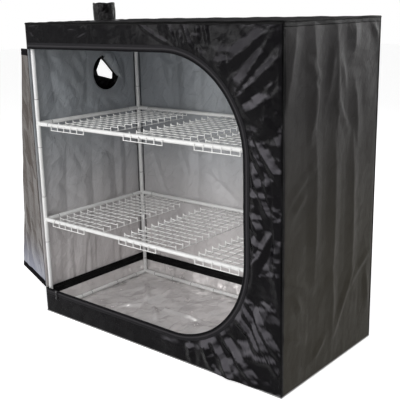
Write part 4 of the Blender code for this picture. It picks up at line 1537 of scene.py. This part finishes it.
def upright_sleeve(u, v):
    """The roof's sleeve: its flange, its tube, and a hem that is drawn in above a thicker band."""
    bore = BORE["roof"]
    angle = FULL_TURN * u
    up = share_between(v, FLANGE_SHARE, 1)
    radius = bore + SLEEVE_ROOM + FLANGE["roof"] * (1 - share_between(v, 0, FLANGE_SHARE))
    radius = radius + 0.0024 * ease(up / 0.25) * limp_wave(angle, up, 1.3)
    radius += 0.0010 * facets(angle * bore, 0.5 * up * ROOF_RISE, 0.018, 141) * ease(up / 0.2)
    radius += 0.0014 * ease((up - 0.86) / 0.03) - 0.05 * bore * ease((up - 0.75) / 0.25)
    z = FLANGE_LIFT * (v > 0) + up * (ROOF_RISE - 0.0035) + 0.0016 * up * np.sin(5 * angle + 1.3)
    return stack(radius * np.cos(angle), radius * np.sin(angle), z), stack(angle * bore, v * ROOF_FLAT)


seat_sleeve(round_sheet("roof sleeve", upright_sleeve), "roof",
            Matrix.Translation((roof_port.x, roof_port.y, roof_low.z)))
print("roof sleeve", round(ROOF_FLAT, 3), "long when flat")

# %% The side sleeve
HEM_CORNERS = np.array([(0.059, -0.005), (-0.024, 0.073), (-0.038, 0.066), (-0.012, -0.028), (0.010, -0.035)])
HEM_DEPTH = 0.020
SHORT_SIDE = 0.022
TUBE_SHARE = 0.50
RIM_SHARE = 0.60
# The angles round the side sleeve whose turned-back faces are painted grey as lit.
PAINTED_LIT_FROM = -0.30
PAINTED_LIT_TO = 1.50
FOLD_FROM = -0.30
FOLD_TO = 1.95
side_low, side_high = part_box("side_duct_sleeve")
SIDE_RISE = side_high.x - side_low.x
SIDE_FLAT = 2 * SIDE_RISE - HEM_DEPTH + FLANGE["side"]


def within_turn(angle):
    """The same angle between minus and plus half a turn."""
    return (angle + math.pi) % FULL_TURN - math.pi


def hem_point(angle):
    """The crooked hem of the pushed-back sleeve: a point on its outline for each angle."""
    away = HEM_CORNERS - HEM_CORNERS.mean(axis=0)
    turns = np.arctan2(away[:, 1], away[:, 0])
    order = np.argsort(turns)
    wrapped = within_turn(angle)
    return [np.interp(wrapped, turns[order], axis[order], period=FULL_TURN) for axis in HEM_CORNERS.T]


def pushed_sleeve(u, v):
    """The side sleeve: its flange, its tube outwards, its rim, and the rest turned back inside it."""
    bore = BORE["side"]
    angle = FULL_TURN * u
    out = share_between(v, FLANGE_SHARE, TUBE_SHARE)
    rim = share_between(v, TUBE_SHARE, RIM_SHARE)
    back = share_between(v, RIM_SHARE, 1)
    radius = bore + SLEEVE_ROOM + FLANGE["side"] * (1 - share_between(v, 0, FLANGE_SHARE))
    radius = radius + 0.0030 * ease(out / 0.3) * limp_wave(angle, out, 2.1) - 0.010 * ease(rim)
    reach = SIDE_RISE - 0.003 + 0.003 * limp_wave(angle, 0.5, 4.0) - SHORT_SIDE * ease(np.sin(angle) + 0.3)
    z = FLANGE_LIFT * (v > 0) + out * reach - 0.004 * ease(rim) - back * (reach - HEM_DEPTH - 0.004)
    z += 0.004 * back * limp_wave(angle, back, 0.7) * (1 - back)
    share = ease(back) * 0.5 + back * 0.5
    folded = radius + 0.005 * np.sin(math.pi * back) * limp_wave(2 * angle, back, 3.0)
    hem_x, hem_y = hem_point(angle)
    x = folded * np.cos(angle) * (1 - share) + hem_x * share
    y = folded * np.sin(angle) * (1 - share) + hem_y * share
    return stack(x, y, z), stack(angle * bore, v * SIDE_FLAT)


def port_fold(u, v):
    """Loose cloth of the sleeve that hangs over the upper far part of the side port, inside the tent."""
    angle = FOLD_FROM + u * (FOLD_TO - FOLD_FROM)
    hem_up, hem_far = hem_point(angle)
    edge = BORE["side"] + 0.014 + 0.009 * np.sin(4 * angle + 0.4)
    up = hem_up * (1 - v) + edge * np.cos(angle) * v
    far = hem_far * (1 - v) + edge * np.sin(angle) * v
    pleats = 0.0075 * np.abs(np.sin(3.6 * angle + 1.1 * v)) * ease(v / 0.3) * ease((1 - v) / 0.3)
    x = LEFT + 0.0035 - 0.010 * (1 - ease(v / 0.5)) + pleats
    return stack(x, side_port.y + far, side_port.z + up), stack(angle * BORE["side"], v * BORE["side"])


fold = thicken(cloth_sheet("port fold", port_fold, (1, 0, 0)), BINDING_CLOTH, lining=False)
finish_piece(fold, "sleeve_fold", ["lining"])
side_tube = round_sheet("side sleeve", pushed_sleeve)
for finish in ("sleeve", "sleeve in painted light"):
    side_tube.data.materials.append(FINISHES[finish])
# Painted light: the turned-back faces within these angles are grey as if lit, and the rest stays black.
flat_places = side_tube.data.uv_layers[0].data
for face in side_tube.data.polygons:
    around, along = flat_places[face.loop_start].uv
    if along > RIM_SHARE * SIDE_FLAT and PAINTED_LIT_FROM < within_turn(around / BORE["side"]) < PAINTED_LIT_TO:
        face.material_index = 1
to_port = Matrix.Translation((side_high.x, side_port.y, side_port.z))
lay_on_left = to_port @ Matrix.Rotation(-math.pi / 2, 4, "Y")
seat_sleeve(side_tube, "side", lay_on_left)
print("side sleeve", round(SIDE_FLAT, 3), "long when flat")

# %% [markdown]
# The cover's seams are bound with a narrow piping. It is a thin cord along each edge, and it catches a
# little more light than the cloth.

# %% Piping on the seams
PIPING = 0.0022
TOP_PIPING = 0.0038
HINGE_PIPING = 0.0010
FOOT_OUT = 0.0014
FOOT_LIFT = 0.0004
TOP_DROP = 0.0012
TOP_WANDER = 0.0012
POST_FOOT = 0.004
STITCHES = 60


def seam_cord(points, name, radius, finish):
    """A thin cord through the points: a round curve that is made a mesh."""
    curve = bpy.data.curves.new(name, "CURVE")
    curve.dimensions = "3D"
    curve.bevel_depth = radius
    curve.bevel_resolution = 1
    curve.use_fill_caps = True
    spline = curve.splines.new("POLY")
    spline.points.add(len(points) - 1)
    for point, place in zip(spline.points, points):
        point.co = (*place, 1)
    cord = bpy.data.objects.new(name, curve)
    bpy.context.scene.collection.objects.link(cord)
    activate(cord)
    bpy.ops.object.convert(target="MESH")
    cord = bpy.context.object
    bpy.ops.object.shade_smooth()
    return finish_piece(cord, name, [finish])


def run_between(start, end, wander=0.0):
    """Points from start to end, a little uneven, as a sewn edge is."""
    start, end = Vector(start), Vector(end)
    points = [start.lerp(end, step / STITCHES) for step in range(STITCHES)]
    for index, point in enumerate(points):
        point.z += wander * math.sin(0.9 * index) * math.sin(0.37 * index + start.x)
    return points


def foot_corner(x, y):
    """Where the piping turns at a corner of the foot, a little outside the cover."""
    return (x + math.copysign(FOOT_OUT, x), y + math.copysign(FOOT_OUT, y), PIPING + FOOT_LIFT)


corners = [(LEFT, FRONT), (RIGHT, FRONT), (RIGHT, BACK), (LEFT, BACK), (LEFT, FRONT)]
foot = []
top = []
for start, end in zip(corners, corners[1:]):
    foot += run_between(foot_corner(*start), foot_corner(*end))
    top += run_between((*start, TOP - TOP_DROP), (*end, TOP - TOP_DROP), TOP_WANDER)
seam_cord(foot + foot[:1], "piping_bottom", PIPING, "piping")
seam_cord(top + top[:1], "piping_top", TOP_PIPING, "binding")
for (x, y), corner in zip(corners, ("front_left", "front_right", "back_right", "back_left")):
    # The hinge's cord takes the door foil, whose darkness is painted shade.
    radius, finish = (HINGE_PIPING, "door foil in painted shade") if corner == "front_left" else (PIPING, "binding")
    seam_cord([(x, y, POST_FOOT), (x, y, TOP)], f"piping_{corner}", radius, finish)
print("piping on 12 edges")

# %% [markdown]
# The tent stands on a plain pale floor in an even studio. The background and the floor are white to the
# camera. A low lamp and a high one in front light the inside, and three more light the top, the right
# wall and the back.

# %% Floor and background
FLOOR_SIZE = 40
FLOOR_LIFT = 0.62
FLOOR_DROP = 0.0005
AMBIENT = 0.31


def seen_directly(tree):
    """1 for the rays that show the background: camera, glossy and transmission rays."""
    path = tree.nodes.new("ShaderNodeLightPath")
    gloss = math_node(tree, "MAXIMUM", path.outputs["Is Glossy Ray"], path.outputs["Is Transmission Ray"])
    return math_node(tree, "MAXIMUM", path.outputs["Is Camera Ray"], gloss)


floor = new_piece(bpy.ops.mesh.primitive_plane_add, size=FLOOR_SIZE, location=(0, 0, -FLOOR_DROP))
floor.name = "studio_floor"
pale = bpy.data.materials.new("pale floor")
pale.use_nodes = True
tree = pale.node_tree
shader = tree.nodes["Principled BSDF"]
shader.inputs["Base Color"].default_value = (0.92, 0.92, 0.92, 1)
shader.inputs["Roughness"].default_value = 0.9
shader.inputs["Emission Color"].default_value = (1, 1, 1, 1)
glow = math_node(tree, "MULTIPLY", seen_directly(tree), FLOOR_LIFT)
tree.links.new(glow, shader.inputs["Emission Strength"])
floor.data.materials.append(pale)

world = bpy.data.worlds.new("studio")
bpy.context.scene.world = world
world.use_nodes = True
tree = world.node_tree
background = tree.nodes["Background"]
mix = add_node(tree, "ShaderNodeMix", {"data_type": "FLOAT"}, i0=seen_directly(tree), i2=AMBIENT, i3=1.0)
background.inputs["Color"].default_value = (1, 1, 1, 1)
tree.links.new(mix.outputs[0], background.inputs["Strength"])
print("floor and background, ambient", AMBIENT)

# %% Lamps
# Each lamp has its place, its width and height in metres and its power in watts.
LAMPS = {
    "low": ((-3.2, -5.0, 1.7), 1.6, 3.3, 118),
    "front": ((1.5, -4.3, 3.9), 1.4, 1.4, 63),
    "top": ((0.3, -2.4, 4.4), 1.8, 1.8, 36),
    "right": ((1.9, -3.4, 1.8), 1.4, 1.4, 16),
    "back": ((1.8, 4.2, 1.9), 2.2, 2.2, 95),
}
AIM = Vector((0, 0, 0.6))
for name, (place, width, height, power) in LAMPS.items():
    data = bpy.data.lights.new(name, "AREA")
    data.shape = "RECTANGLE"
    data.size = width
    data.size_y = height
    data.energy = power
    lamp = bpy.data.objects.new(name, data)
    lamp.location = place
    lamp.rotation_euler = (AIM - Vector(place)).to_track_quat("-Z", "Y").to_euler()
    bpy.context.scene.collection.objects.link(lamp)
bpy.context.scene.view_settings.view_transform = "Standard"
print("lamps", len(LAMPS))
